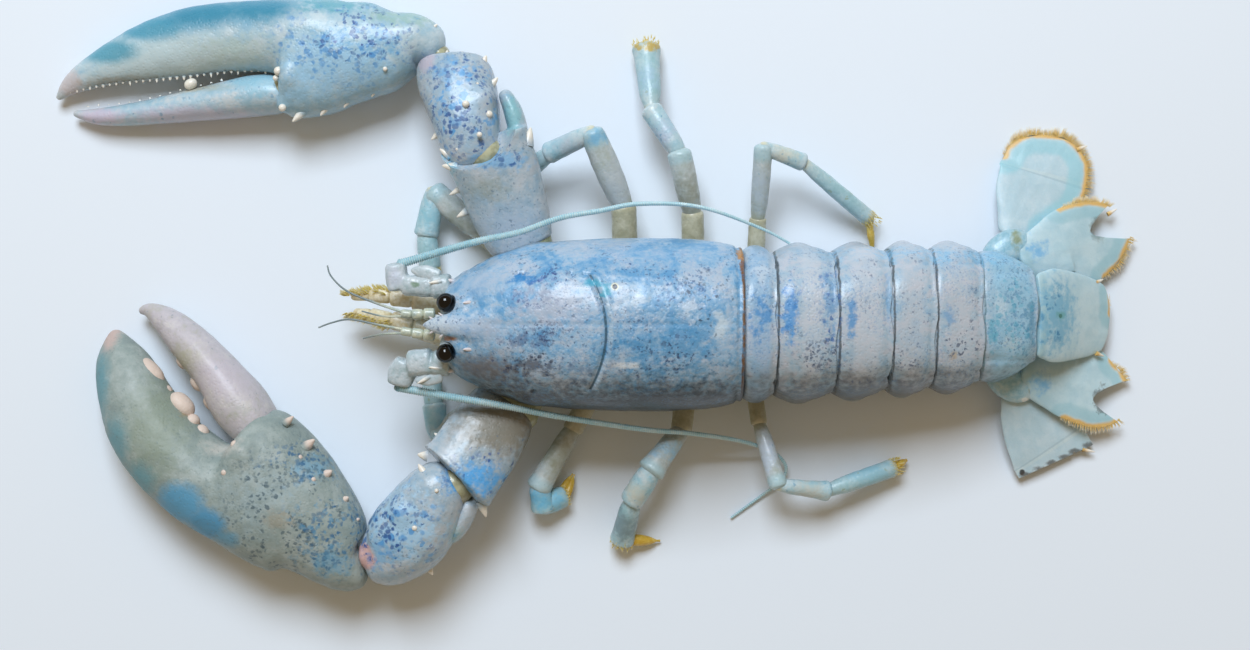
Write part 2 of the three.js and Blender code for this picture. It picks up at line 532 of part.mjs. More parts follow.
function tailPlate({ root, rim, rootHeight, rimHeight, towards }) {
  const outline = new THREE.Shape();
  const points = [...root, ...rim].map(([x, y]) => new THREE.Vector2(x, y));
  outline.moveTo(points[0].x, points[0].y);
  outline.lineTo(points[1].x, points[1].y);
  outline.splineThru(points.slice(2));
  outline.closePath();
  const plate = new THREE.ExtrudeGeometry(outline, { depth: TAIL_PLATE_THICKNESS, curveSegments: 2,
    bevelEnabled: false });
  const reach = new THREE.Vector2(...towards).normalize();
  const start = points[0].dot(reach) / 2 + points[1].dot(reach) / 2;
  const end = Math.max(...points.map((point) => point.dot(reach)));
  const places = plate.attributes.position;
  for (let i = 0; i < places.count; i += 1) {
    const share = (places.getX(i) * reach.x + places.getY(i) * reach.y - start) / (end - start);
    const height = THREE.MathUtils.lerp(rootHeight, rimHeight, THREE.MathUtils.clamp(share, 0, 1));
    places.setZ(i, places.getZ(i) + height - TAIL_PLATE_THICKNESS / 2);
  }
  return solidFrom(plate);
}

function addTailFan(abdomen) {
  const telsonOptions = { sides: 10, rowsBetween: 1, power: TELSON_POWER, facing: TAILWARD };
  const telson = loft(TELSON, telsonOptions);
  const telsonRoom = loft(TELSON, { ...telsonOptions, grow: JOINT_GAP });
  const lastSegmentRoom = abdomenSegment(ABDOMEN_SEAMS.length - 2, JOINT_GAP);
  const taken = [lastSegmentRoom, telsonRoom];
  addPart(abdomen, 'telson', telson, TELSON[0].slice(0, 3), FINISHES.fan);
  for (const [name, stations] of Object.entries(UROPOD_ROOTS)) {
    const root = taken.reduce((rest, room) => rest.subtract(room), loft(stations));
    addPart(abdomen, name, root, stations[0].slice(0, 3), FINISHES.fan);
  }
  taken.push(...Object.values(UROPOD_ROOTS).map((stations) => loft(stations, { grow: JOINT_GAP })));
  for (const [name, plate] of Object.entries(TAIL_FAN)) {
    const blade = taken.reduce((rest, room) => rest.subtract(room), aboveGround(tailPlate(plate)));
    addPart(abdomen, name, blade, [...plate.root[0], plate.rootHeight], FINISHES.fan);
  }
}

// Claws and their arms

const clawOptions = { sides: 10, rowsBetween: 1 };

function addArm(side, arm) {
  const { shoulder, elbow, wrist, knuckle } = arm.joints;
  const group = addGroup(arm.base[0].slice(0, 3));
  const limb = (stations) => loft(stations, { rowsBetween: 1 });
  const base = cutAtJoint(limb(arm.base), shoulder, true).subtract(bodyRoom);
  const between = (solid, near, far) => cutAtJoint(cutAtJoint(solid, near, false), far, true);
  const merus = between(withSpines(limb(arm.merus), ARM_SPINES[`merus_${side}`]), shoulder, elbow);
  const carpus = between(withSpines(limb(arm.carpus), ARM_SPINES[`carpus_${side}`]), elbow, wrist);
  const palm = cutAtJoint(loft(arm.palm, clawOptions), wrist, false);
  const fixedFinger = loft(arm.fixedFinger, clawOptions);
  const finger = cutAtJoint(loft(arm.finger, clawOptions), knuckle, false);
  const bareHand = withSpines(palm, ARM_SPINES[`palm_${side}`]).add(fixedFinger);
  const hand = withTeeth(bareHand, FIXED_FINGER_TEETH[side]);
  const fingerRoom = cutAtJoint(loft(arm.finger, { ...clawOptions, grow: JOINT_GAP }), knuckle, false);
  addPart(group, `arm_base_${side}`, base, shoulder.at, FINISHES.arm);
  addPart(group, `merus_${side}`, merus, shoulder.at, FINISHES.arm);
  addPart(group, `carpus_${side}`, carpus, elbow.at, FINISHES.arm);
  addPart(group, `claw_palm_${side}`, aboveGround(hand.subtract(fingerRoom)), wrist.at, FINISHES.claw);
  addPart(group, `claw_finger_${side}`, aboveGround(withTeeth(finger, MOVING_FINGER_TEETH[side])), knuckle.at,
    FINISHES.finger);
}

// Walking legs

function addLeg(name, leg) {
  const { base, hip, knee, ankle, toe, tip, thickness } = leg;
  const heading = (from, to) => new THREE.Vector3(...to).sub(new THREE.Vector3(...from)).normalize();
  const upward = heading(hip, knee);
  const downward = heading(knee, ankle);
  const bend = { at: knee, facing: upward.clone().add(downward).toArray() };
  const station = (point, width) => [...point, width / 2, (width / 2) * LEG_FLATNESS];
  const past = (point, direction, distance) => (
    point.map((value, i) => value + direction.getComponent(i) * distance));
  const upper = loft([
    station(base, thickness.hip), station(hip, thickness.hip),
    station(past(knee, upward, -KNEE_TAPER), thickness.knee),
    station(past(knee, upward, KNEE_TAPER), thickness.knee * KNEE_NARROWING),
  ], { sides: 8, rowsBetween: 1 });
  const lower = loft([
    station(past(knee, downward, -KNEE_TAPER), thickness.knee * KNEE_NARROWING),
    station(past(knee, downward, KNEE_TAPER), thickness.knee),
    station(ankle, thickness.ankle), station(toe, thickness.toe), station(tip, thickness.tip),
  ], { sides: 8, rowsBetween: 1 });
  const group = addGroup(base);
  addPart(group, `leg_${name}_upper`, cutAtJoint(upper, bend, true).subtract(bodyRoom), base, FINISHES.leg);
  addPart(group, `leg_${name}_lower`, aboveGround(cutAtJoint(lower, bend, false)), knee, FINISHES.leg);
}

// Feelers and mouth

function addFeelers() {
  const limbOptions = { sides: 8, rowsBetween: 1 };
  const head = addGroup([EYE_SPOT.x, 0, EYE_SPOT.z]);
  for (const side of ['right', 'left']) {
    const { base, whip } = ANTENNA[side];
    const socketRadius = WHIP_ROOT_RADIUS + JOINT_GAP;
    const socket = feeler(whip, socketRadius, socketRadius, { to: WHIP_SOCKET_SHARE, steps: 4 });
    const stem = loft(base, limbOptions).subtract(carapaceRoom).subtract(socket);
    addPart(head, `antenna_base_${side}`, stem, base[0].slice(0, 3), FINISHES.arm);
    const halves = [['near', 0, WHIP_SPLIT - WHIP_GAP_SHARE], ['far', WHIP_SPLIT + WHIP_GAP_SHARE, 1]];
    for (const [half, from, to] of halves) {
      const solid = feeler(whip, WHIP_ROOT_RADIUS, WHIP_TIP_RADIUS, { from, to });
      addPart(head, `antenna_${half}_${side}`, aboveGround(solid), whip[0], FINISHES.whip);
    }
    const { stalk, whips } = ANTENNULES[side];
    const branch = (points) => feeler(points, ANTENNULE_RADIUS, ANTENNULE_RADIUS * ANTENNULE_TAPER,
      { sides: 4, steps: 5 });
    const antennule = joined([loft(stalk, { sides: 6, rowsBetween: 1 }), ...whips.map(branch)]);
    addPart(head, `antennule_${side}`, antennule.subtract(carapaceRoom), stalk[0].slice(0, 3),
      FINISHES.whip);
    const stations = MAXILLIPEDS[side];
    addPart(head, `maxilliped_${side}`, loft(stations, limbOptions).subtract(bodyRoom),
      stations[0].slice(0, 3), FINISHES.mouth);
  }
}

const body = addBody();
addEyes(body);
addTailFan(addAbdomen());
addArm('right', RIGHT_ARM);
addArm('left', LEFT_ARM);
Object.entries(LEGS).forEach(([name, leg]) => addLeg(name, leg));
addFeelers();

export default lobster;
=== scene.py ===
"""A pale blue American lobster at life size, lying belly down on level ground.

The sizes in the classes are millimetres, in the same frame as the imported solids: the head points to -X,
the animal's right side is +Y, +Z is up and the ground is at zero. Colours are written as sRGB hex.
"""
import logging
import math
import random
from collections.abc import Callable, Iterator, Sequence
from contextlib import contextmanager
from dataclasses import dataclass
from enum import Enum

import bmesh
import bpy
from mathutils import Matrix, Vector


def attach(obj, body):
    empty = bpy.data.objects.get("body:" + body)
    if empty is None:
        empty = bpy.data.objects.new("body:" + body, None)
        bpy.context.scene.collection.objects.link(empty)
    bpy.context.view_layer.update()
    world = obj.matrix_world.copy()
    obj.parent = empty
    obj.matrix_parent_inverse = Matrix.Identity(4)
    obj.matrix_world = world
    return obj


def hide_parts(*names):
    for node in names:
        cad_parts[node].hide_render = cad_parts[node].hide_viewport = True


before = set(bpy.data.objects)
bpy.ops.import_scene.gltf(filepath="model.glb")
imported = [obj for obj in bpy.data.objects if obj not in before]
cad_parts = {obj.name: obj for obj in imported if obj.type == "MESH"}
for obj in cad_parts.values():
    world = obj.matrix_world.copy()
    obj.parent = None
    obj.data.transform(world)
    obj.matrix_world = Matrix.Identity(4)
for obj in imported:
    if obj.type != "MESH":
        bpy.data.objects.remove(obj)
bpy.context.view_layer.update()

MM = 0.001
ROOT = "root"
SEED = 61

Row = tuple[float, ...]
Rows = tuple[Row, ...]
Place = tuple[float, float, float]
Spikes = tuple[tuple[Place, Place, float], ...]
Balls = tuple[tuple[Place, float], ...]
Pairs = tuple[tuple[float, float], ...]
Object = bpy.types.Object
Material = bpy.types.Material
Socket = bpy.types.NodeSocket
Node = bpy.types.Node

UP = Vector((0, 0, 1))
ORIGIN: Place = (0.0, 0.0, 0.0)
DOME_SHARES = (0.0, 0.04, 0.14, 0.32, 0.6)
BLUNT_END = 0.08
RING_GAP = 0.02
LEAST_RADIUS = 0.04
SPINE_BASE = 0.35
SPINE_SHOULDER = 0.78
SPINE_STEPS: Pairs = ((0.35, 0.62), (0.22, 0.5), (0.08, 0.3))

log = logging.getLogger("lobster")


class Side(Enum):
    """The animal's own right and left, as the sign of Y."""

    RIGHT = 1
    LEFT = -1

    @property
    def word(self) -> str:
        """The side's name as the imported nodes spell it."""
        return self.name.lower()

    def mirrored(self, place: Place) -> Place:
        """A place or step on this side of the body, from one that is given for the right side."""
        return (place[0], place[1] * self.value, place[2])


class Attribute(Enum):
    """Point attributes that the finishes read."""

    ALONG = "along"
    SPINE = "spine"
    FRINGE = "fringe"


# Selecting and shaping


def rest_tools() -> None:
    """Leave edit mode and deselect every object."""
    if bpy.context.object and bpy.context.object.mode != "OBJECT":
        bpy.ops.object.mode_set(mode="OBJECT")
    bpy.ops.object.select_all(action="DESELECT")


def take(piece: Object) -> None:
    """Make one object the only selected and the active one."""
    rest_tools()
    piece.select_set(True)
    bpy.context.view_layer.objects.active = piece


@contextmanager
def shaping(piece: Object, whole: bool = False) -> Iterator[None]:
    """Open a piece in edit mode, and close it afterwards.

    Args:
        piece: The object to open.
        whole: Whether all of it starts selected, and not nothing.

    Returns:
        Nothing to use: the piece is open while the block runs.
    """
    take(piece)
    bpy.ops.object.mode_set(mode="EDIT")
    bpy.ops.mesh.select_mode(type="VERT")
    bpy.ops.mesh.select_all(action="SELECT" if whole else "DESELECT")
    yield
    bpy.ops.object.mode_set(mode="OBJECT")


def pick(piece: Object, test: Callable[[Vector], bool]) -> None:
    """Select the vertices of the open piece by their place.

    Args:
        piece: The object in edit mode.
        test: Whether a place in millimetres is taken.
    """
    mesh = bmesh.from_edit_mesh(piece.data)
    for vertex in mesh.verts:
        vertex.select = test(vertex.co / MM)
    mesh.select_flush_mode()
    bmesh.update_edit_mesh(piece.data)


def scaled(place: Sequence[float]) -> Vector:
    """A place in millimetres as a vector in metres."""
    return Vector(place) * MM


def extrude(step: Sequence[float]) -> None:
    """Extrude what is selected in edit mode by a step in metres."""
    bpy.ops.mesh.extrude_region_move(TRANSFORM_OT_translate={"value": step})


def resize(shares: Sequence[float], centre: Sequence[float]) -> None:
    """Resize what is selected in edit mode about a centre in metres."""
    bpy.ops.transform.resize(value=shares, center_override=centre)


def applied(piece: Object, modifier: bpy.types.Modifier) -> Object:
    """Apply one of a piece's modifiers, and give the piece back."""
    take(piece)
    bpy.ops.object.modifier_apply(modifier=modifier.name)
    return piece


def settled() -> Object:
    """Put the newest object's place, turn and scale into its mesh, and give the object."""
    bpy.ops.object.transform_apply(location=True, rotation=True, scale=True)
    return bpy.context.object


def pull(piece: Object, place: Place, offset: Place, reach: float) -> None:
    """Draw the skin out or in round one place, with a smooth falloff.

    Args:
        piece: The object to shape.
        place: Where the nearest vertex is taken, in millimetres.
        offset: How far that vertex moves, in millimetres.
        reach: Radius of the stretch that moves with it, in millimetres.
    """
    target = Vector(place)
    nearest = min(piece.data.vertices, key=lambda vertex: (vertex.co / MM - target).length_squared)
    spot = nearest.co / MM
    with shaping(piece):
        pick(piece, lambda co: (co - spot).length_squared < 1e-6)
        bpy.ops.transform.translate(
            value=scaled(offset), use_proportional_edit=True, proportional_edit_falloff="SMOOTH",
            proportional_size=reach * MM, use_proportional_connected=True,
        )


def swell(piece: Object, test: Callable[[Vector], bool], amount: float, reach: float = 0.0) -> None:
    """Raise the skin along its normals where a test passes, or sink it where the amount is negative.

    Args:
        piece: The object to shape.
        test: Whether a place in millimetres is taken.
        amount: How far the skin moves, in millimetres.
        reach: Radius of the falloff round the taken places, in millimetres, or 0 for none.
    """
    with shaping(piece):
        pick(piece, test)
        bpy.ops.transform.shrink_fatten(
            value=amount * MM, use_proportional_edit=reach > 0, proportional_edit_falloff="SMOOTH",
            proportional_size=max(reach, 0.01) * MM,
        )


# Rows and rings


def smooth_rows(stations: Sequence[Row], between: int) -> list[Row]:
    """Fill in rows between stations on one smooth spline for each number.

    Args:
        stations: The rows that are given.
        between: How many rows each stretch becomes.

    Returns:
        The stations with the new rows between them.
    """
    last = len(stations) - 1
    rows = []
    for index in range(last):
        before, start, end, after = (stations[min(max(index + k, 0), last)] for k in (-1, 0, 1, 2))
        for step in range(between):
            t = step / between
            rows.append(tuple(
                0.5 * (2 * b + (c - a) * t + (2 * a - 5 * b + 4 * c - d) * t ** 2
                       + (3 * b - a - 3 * c + d) * t ** 3)
                for a, b, c, d in zip(before, start, end, after)
            ))
    rows.append(tuple(stations[last]))
    return rows


def running_lengths(places: Sequence[Vector]) -> list[float]:
    """The distance from the first place to each place along the line through them."""
    lengths = [0.0]
    for before, after in zip(places, places[1:]):
        lengths.append(lengths[-1] + (after - before).length)
    return lengths


def between_rows(rows: Sequence[Row], lengths: Sequence[float], distance: float) -> Row:
    """The row at a distance along a route, read in a straight line between its neighbours."""
    for index in range(len(rows) - 1):
        if distance <= lengths[index + 1]:
            share = (distance - lengths[index]) / (lengths[index + 1] - lengths[index])
            return tuple(a + (b - a) * share for a, b in zip(rows[index], rows[index + 1]))
    return tuple(rows[-1])


def dome_share(distance: float, depth: float) -> float:
    """How wide a rounded end is at a distance from its pole, as a share of the full width."""
    if distance >= depth:
        return 1.0
    return max(BLUNT_END, math.sqrt(1 - (1 - distance / depth) ** 2))


def new_ring(name: str, sides: int, place: Place, squareness: float = 1.0) -> Object:
    """Add a filled circle that faces along X, with its corners pushed out or in.

    Args:
        name: The object's name.
        sides: How many vertices the circle has.
        place: Its centre in millimetres.
        squareness: Power on its sine and cosine: 1 is round, below 1 is squarer.

    Returns:
        A ring with a radius of one millimetre.
    """
    rest_tools()
    bpy.ops.mesh.primitive_circle_add(
        vertices=sides, radius=MM, fill_type="NGON", rotation=(math.pi / 2, 0, math.pi / 2),
    )
    ring = settled()
    ring.name = name
    for vertex in ring.data.vertices:
        vertex.co.y = math.copysign(abs(vertex.co.y / MM) ** squareness, vertex.co.y) * MM
        vertex.co.z = math.copysign(abs(vertex.co.z / MM) ** squareness, vertex.co.z) * MM
        vertex.co += scaled(place)
    return ring


def mark(piece: Object, attribute: Attribute, value: Callable[[Vector], float]) -> None:
    """Write a number on every vertex for the finishes to read.

    Args:
        piece: The object to write on.
        attribute: Which attribute is written.
        value: The number for a place in millimetres.
    """
    kept = piece.data.attributes
    layer = kept.get(attribute.value) or kept.new(attribute.value, "FLOAT", "POINT")
    layer.data.foreach_set("value", [value(vertex.co / MM) for vertex in piece.data.vertices])


def bend(piece: Object, route: Sequence[Vector]) -> None:
    """Bend a piece that lies along X onto a route through places in millimetres."""
    curve = bpy.data.curves.new(f"{piece.name}_route", "CURVE")
    curve.dimensions = "3D"
    curve.twist_mode = "Z_UP"
    line = curve.splines.new("POLY")
    line.points.add(len(route) - 1)
    for point, place in zip(line.points, route):
        point.co = (*scaled(place), 1)
    guide = bpy.data.objects.new(curve.name, curve)
    bpy.context.scene.collection.objects.link(guide)
    modifier = piece.modifiers.new("Route", "CURVE")
    modifier.object = guide
    modifier.deform_axis = "POS_X"
    applied(piece, modifier)
    bpy.data.objects.remove(guide)
    bpy.data.curves.remove(curve)


@dataclass(frozen=True)
class Limb:
    """A closed skin extruded ring by ring and bent onto a route.

    Stations are x, y, z, half width and half thickness, from the root outwards. The root and tip domes
    say over what length each end rounds off.
    """

    stations: Sequence[Row]
    sides: int = 20
    between: int = 5
    root_dome: float = 0.0
    tip_dome: float = 0.0
    squareness: float = 1.0

    def build(self, name: str) -> Object:
        """Extrude the rings along a straight axis and bend the result onto the route.

        Args:
            name: The object's name.

        Returns:
            The finished skin, with its share of length written on it.
        """
        rows = smooth_rows(self.stations, self.between)
        route = [Vector(row[:3]) for row in rows]
        lengths = running_lengths(route)
        whole = lengths[-1]
        marks = set(lengths)
        for share in DOME_SHARES:
            marks.add(share * self.root_dome)
            marks.add(whole - share * self.tip_dome)
        rings = []
        for distance in sorted(marks):
            row = between_rows(rows, lengths, distance)
            dome = dome_share(distance, self.root_dome) * dome_share(whole - distance, self.tip_dome)
            if not rings or distance - rings[-1][0] > RING_GAP:
                rings.append((distance, *(max(half * dome, LEAST_RADIUS) for half in row[3:5])))
        tube = new_ring(name, self.sides, ORIGIN, self.squareness)
        with shaping(tube, whole=True):
            resize((1, *rings[0][1:]), ORIGIN)
            for before, now in zip(rings, rings[1:]):
                extrude(((now[0] - before[0]) * MM, 0, 0))
                resize((1, now[1] / before[1], now[2] / before[2]), (now[0] * MM, 0, 0))
        mark(tube, Attribute.ALONG, lambda place: place.x / whole)
        bend(tube, route)
        return tube


@dataclass(frozen=True)
class Barrel:
    """A closed skin of upright rings along the body.

    Stations are x, y, level of the widest point, half width, rise to the top and drop to the underside.
    """

    stations: Sequence[Row]
    sides: int = 48
    between: int = 6
    squareness: float = 1.0

    def build(self, name: str) -> Object:
        """Extrude the rings, stretching the upper and the lower half of each by its own amount.

        Args:
            name: The object's name.

        Returns:
            The finished skin, with its share of length written on it.
        """
        rows = smooth_rows(self.stations, self.between)
        first = rows[0]
        skin = new_ring(name, self.sides, first[:3], self.squareness)
        with shaping(skin, whole=True):
            self.stretch(skin, first, (1, 1, 1))
            for before, now in zip(rows, rows[1:]):
                extrude([(b - a) * MM for a, b in zip(before[:3], now[:3])])
                self.stretch(skin, now, before[3:6])
        start, end = rows[0][0], rows[-1][0]
        mark(skin, Attribute.ALONG, lambda place: (place.x - start) / (end - start))
        return skin

    def stretch(self, skin: Object, row: Row, last: Sequence[float]) -> None:
        """Resize the newest ring to a row's width, rise and drop.

        Args:
            skin: The object in edit mode.
            row: The row that the ring stands for.
            last: The width, rise and drop that the ring has so far.
        """
        centre = scaled(row[:3])
        width, rise, drop = (now / was for now, was in zip(row[3:6], last))
        resize((1, width, 1), centre)
        for sign, share in ((1, rise), (-1, drop)):
            self.pick_newest(skin, lambda place, sign=sign: (place.z - row[2]) * sign > 1e-4)
            resize((1, 1, share), centre)
        self.pick_newest(skin, lambda place: True)

    def pick_newest(self, skin: Object, test: Callable[[Vector], bool]) -> None:
        """Select those vertices of the newest ring whose place passes a test."""
        mesh = bmesh.from_edit_mesh(skin.data)
        first = len(mesh.verts) - self.sides
        for vertex in mesh.verts:
            vertex.select = vertex.index >= first and test(vertex.co / MM)
        mesh.select_flush_mode()
        bmesh.update_edit_mesh(skin.data)


# Small pieces and finishing


def smoothed(piece: Object, angle: float = 50) -> Object:
    """Shade a piece smooth below an angle in degrees, and give it back."""
    take(piece)
    bpy.ops.object.shade_smooth_by_angle(angle=math.radians(angle))
    return piece


def refined(piece: Object, levels: int) -> Object:
    """Apply a subdivision surface to a piece and give it back."""
    modifier = piece.modifiers.new("Refine", "SUBSURF")
    modifier.levels = levels
    modifier.render_levels = levels
    return applied(piece, modifier)


def roughened(piece: Object, waves: Pairs) -> Object:
    """Push a skin in and out a little, as shell grows, and give it back.

    Args:
        piece: The object to shape.
        waves: Width and height of each set of waves, in millimetres.

    Returns:
        The same object.
    """
    for width, height in waves:
        texture = bpy.data.textures.new(f"{piece.name}_waves", "CLOUDS")
        texture.noise_scale = width * MM
        texture.noise_depth = 2
        modifier = piece.modifiers.new("Waves", "DISPLACE")
        modifier.texture = texture
        modifier.texture_coords = "LOCAL"
        modifier.strength = height * MM
        applied(piece, modifier)
        bpy.data.textures.remove(texture)
    return piece


def joined(name: str, pieces: Sequence[Object]) -> Object:
    """Join several objects into one with a name of its own."""
    take(pieces[0])
    for piece in pieces[1:]:
        piece.select_set(True)
    if len(pieces) > 1:
        bpy.ops.object.join()
    whole = bpy.context.object
    whole.name = name
    whole.data.name = name
    return whole


def spine(foot: Place, tip: Place, radius: float, sides: int = 10) -> Object:
    """Model a spine or tooth as a cone with a swollen middle and a small blunt tip.

    Args:
        foot: Middle of its foot, in millimetres.
        tip: Its tip.
        radius: Radius of the foot.
        sides: How many sides it has.

    Returns:
        The spine, with its share of height written on it.
    """
    start, end = Vector(foot), Vector(tip)
    reach = end - start
    rest_tools()
    bpy.ops.mesh.primitive_cone_add(
        vertices=sides, radius1=radius * MM, radius2=radius * SPINE_SHOULDER * MM,
        depth=reach.length * SPINE_BASE * MM, location=(0, 0, reach.length * SPINE_BASE / 2 * MM),
        end_fill_type="NGON",
    )
    cone = settled()
    with shaping(cone):
        for rise, narrow in SPINE_STEPS:
            top = max(vertex.co.z for vertex in bmesh.from_edit_mesh(cone.data).verts) / MM
            pick(cone, lambda place, top=top: place.z > top - 1e-3)
            extrude((0, 0, reach.length * rise * MM))
            resize((narrow, narrow, 1), ORIGIN)
    mark(cone, Attribute.SPINE, lambda place: place.z / reach.length)
    turn = UP.rotation_difference(reach.normalized()).to_matrix().to_4x4()
    cone.data.transform(Matrix.Translation(scaled(foot)) @ turn)
    return cone


def knob(place: Place, radii: Place, segments: int = 12, mark_spine: float = 1.0) -> Object:
    """Model a rounded tubercle, tooth or ball, flattened to three radii.

    Args:
        place: Its centre in millimetres.
        radii: Its half sizes along X, Y and Z.
        segments: How many segments it has round and up.
        mark_spine: How much of the pale spine colour it takes.

    Returns:
        The knob.
    """
    rest_tools()
    bpy.ops.mesh.primitive_uv_sphere_add(
        segments=segments, ring_count=max(6, segments // 2), radius=MM, location=scaled(place),
    )
    with shaping(bpy.context.object, whole=True):
        resize(radii, scaled(place))
    ball = settled()
    mark(ball, Attribute.SPINE, lambda _: mark_spine)
    return ball


def cut_away(piece: Object, cutter: Object) -> None:
    """Cut the shape of one object out of another and remove the cutter."""
    modifier = piece.modifiers.new("Cut", "BOOLEAN")
    modifier.operation = "DIFFERENCE"
    modifier.object = cutter
    modifier.solver = "EXACT"
    applied(piece, modifier)
    bpy.data.objects.remove(cutter)


def fused(name: str, pieces: Sequence[Object], voxel: float, passes: int) -> Object:
    """Join overlapping skins into one continuous skin and soften the creases.

    Args:
        name: The object's name.
        pieces: The skins, which overlap.
        voxel: Size of the grid that joins them, in millimetres.
        passes: How often the result is smoothed.

    Returns:
        One closed skin.
    """
    whole = joined(name, pieces)
    remesh = whole.modifiers.new("Fuse", "REMESH")
    remesh.mode = "VOXEL"
    remesh.voxel_size = voxel * MM
    soften = whole.modifiers.new("Soften", "SMOOTH")
    soften.factor = 0.5
    soften.iterations = passes
    applied(whole, remesh)
    return applied(whole, soften)


def placed(piece: Object, finish: "Finish", slot: str, *nodes: str) -> Object:
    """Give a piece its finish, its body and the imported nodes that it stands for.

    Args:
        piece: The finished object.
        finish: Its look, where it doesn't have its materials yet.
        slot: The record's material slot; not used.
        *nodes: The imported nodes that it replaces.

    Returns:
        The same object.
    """
    if not piece.data.materials:
        piece.data.materials.append(finish.make())
    piece.name = f"{piece.name.split('.')[0]}_skin"
    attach(piece, ROOT)
    if nodes:
        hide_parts(*nodes)
    log.info("%s: %d faces", piece.name, len(piece.data.polygons))
    return piece


# Finishes


def tone(code: str) -> tuple[float, float, float, float]:
    """Turn an sRGB hex colour into the linear colour that a shader takes."""
    parts = [int(code[index:index + 2], 16) / 255 for index in (1, 3, 5)]
    linear = [part / 12.92 if part <= 0.04045 else ((part + 0.055) / 1.055) ** 2.4 for part in parts]
    return (*linear, 1.0)


Value = float | Sequence[float] | Socket


class Graph:
    """Adds nodes to a tree and links them, so that a finish reads as a list of steps."""

    def __init__(self, tree: bpy.types.NodeTree) -> None:
        """Work on one node tree."""
        self.tree = tree

    def feed(self, socket: Socket, value: Value) -> None:
        """Link a socket into an input, or set a plain value on it."""
        if isinstance(value, Socket):
            self.tree.links.new(value, socket)
        else:
            socket.default_value = value

    def add(self, kind: str, settings: dict[str, object] | None = None, **inputs: Value) -> Node:
        """Add a node, with its settings and the values or links of its inputs.

        Args:
            kind: The node's type without the ShaderNode prefix.
            settings: Attributes of the node itself.
            **inputs: Values by input name, with underscores for spaces, or by number as in_0.

        Returns:
            The new node.
        """
        node = self.tree.nodes.new(kind if kind.startswith("Node") else f"ShaderNode{kind}")
        for key, setting in (settings or {}).items():
            setattr(node, key, setting)
        for key, value in inputs.items():
            where = int(key[3:]) if key.startswith("in_") else key.replace("_", " ")
            self.feed(node.inputs[where], value)
        return node

    def math(self, operation: str, first: Value, second: Value = 0.0, third: Value = 0.0) -> Socket:
        """Work out one number from up to three."""
        return self.add("Math", {"operation": operation}, in_0=first, in_1=second, in_2=third).outputs[0]

    def ramp(self, value: Value, low: Value, high: Value, smooth: bool = True) -> Socket:
        """Turn a number into a mask that rises from 0 at low to 1 at high."""
        kind = "SMOOTHSTEP" if smooth else "LINEAR"
        node = self.add("MapRange", {"interpolation_type": kind, "clamp": True},
                        Value=value, From_Min=low, From_Max=high)
        return node.outputs["Result"]

    def mix(self, share: Value, first: Value, second: Value, blend: str = "MIX") -> Socket:
        """Mix two colours by a share."""
        node = self.add("MixRGB", {"blend_type": blend}, Fac=share, Color1=first, Color2=second)
        return node.outputs["Color"]

    def noise(self, vector: Value, scale: Value, detail: float = 3, rough: float = 0.55,
              warp: float = 0.0) -> Socket:
        """A cloudy number from 0 to 1 over the surface."""
        node = self.add("TexNoise", {"noise_dimensions": "3D"}, Vector=vector, Scale=scale, Detail=detail,
                        Roughness=rough, Distortion=warp)
        return node.outputs["Fac"]

    def attribute(self, attribute: Attribute) -> Socket:
        """A number written on the mesh."""
        return self.add("Attribute", {"attribute_name": attribute.value}).outputs["Fac"]

    def group(self, effect: "Effect", **inputs: Value) -> Node:
        """Place an effect's node group with values of its own."""
        return self.add("Group", {"node_tree": effect.tree()}, **inputs)


class Effect:
    """A look that several finishes share, built once as a shader node group."""

    name = ""
    inputs: tuple[tuple[str, str, Value], ...] = ()
    outputs: tuple[tuple[str, str], ...] = ()

    def tree(self) -> bpy.types.NodeTree:
        """Give the group's node tree, building it the first time."""
        ready = bpy.data.node_groups.get(self.name)
        if ready:
            return ready
        tree = bpy.data.node_groups.new(self.name, "ShaderNodeTree")
        for label, kind, value in self.inputs:
            socket = tree.interface.new_socket(name=label, in_out="INPUT", socket_type=f"NodeSocket{kind}")
            socket.default_value = value
        for label, kind in self.outputs:
            tree.interface.new_socket(name=label, in_out="OUTPUT", socket_type=f"NodeSocket{kind}")
        graph = Graph(tree)
        given = graph.add("NodeGroupInput").outputs
        results = self.wire(graph, given)
        target = graph.add("NodeGroupOutput")
        for label, socket in results.items():
            graph.feed(target.inputs[label], socket)
        return tree

    def wire(self, graph: Graph, given: bpy.types.NodeOutputs) -> dict[str, Socket]:
        """Wire the group from its inputs.

        Args:
            graph: The group's tree.
            given: The group's input sockets.

        Returns:
            The socket for each output's name.
        """
        raise NotImplementedError


WHITE = (1.0, 1.0, 1.0, 1.0)


class Mottle(Effect):
    """Cloudy shell colour in three tones, with fine grain on top."""

    name = "Shell mottle"
    inputs = (("Vector", "Vector", ORIGIN), ("Pale", "Color", WHITE), ("Middle", "Color", WHITE),
              ("Deep", "Color", WHITE), ("Scale", "Float", 60.0), ("Depth", "Float", 0.5))
    outputs = (("Color", "Color"),)

    def wire(self, graph: Graph, given: bpy.types.NodeOutputs) -> dict[str, Socket]:
        """Mix the tones by a wide and a fine cloud."""
        wide = graph.noise(given["Vector"], given["Scale"], detail=4, rough=0.6, warp=0.6)
        fine_scale = graph.math("MULTIPLY", given["Scale"], 4.6)
        fine = graph.noise(given["Vector"], fine_scale, detail=4, rough=0.65, warp=0.3)
        blend = graph.math("MULTIPLY_ADD", fine, 0.45, graph.math("MULTIPLY", wide, 0.55))
        low = graph.ramp(blend, 0.38, 0.54)
        high = graph.math("MULTIPLY", graph.ramp(blend, 0.49, 0.62), given["Depth"])
        pale = graph.mix(low, given["Pale"], given["Middle"])
        return {"Color": graph.mix(high, pale, given["Deep"])}


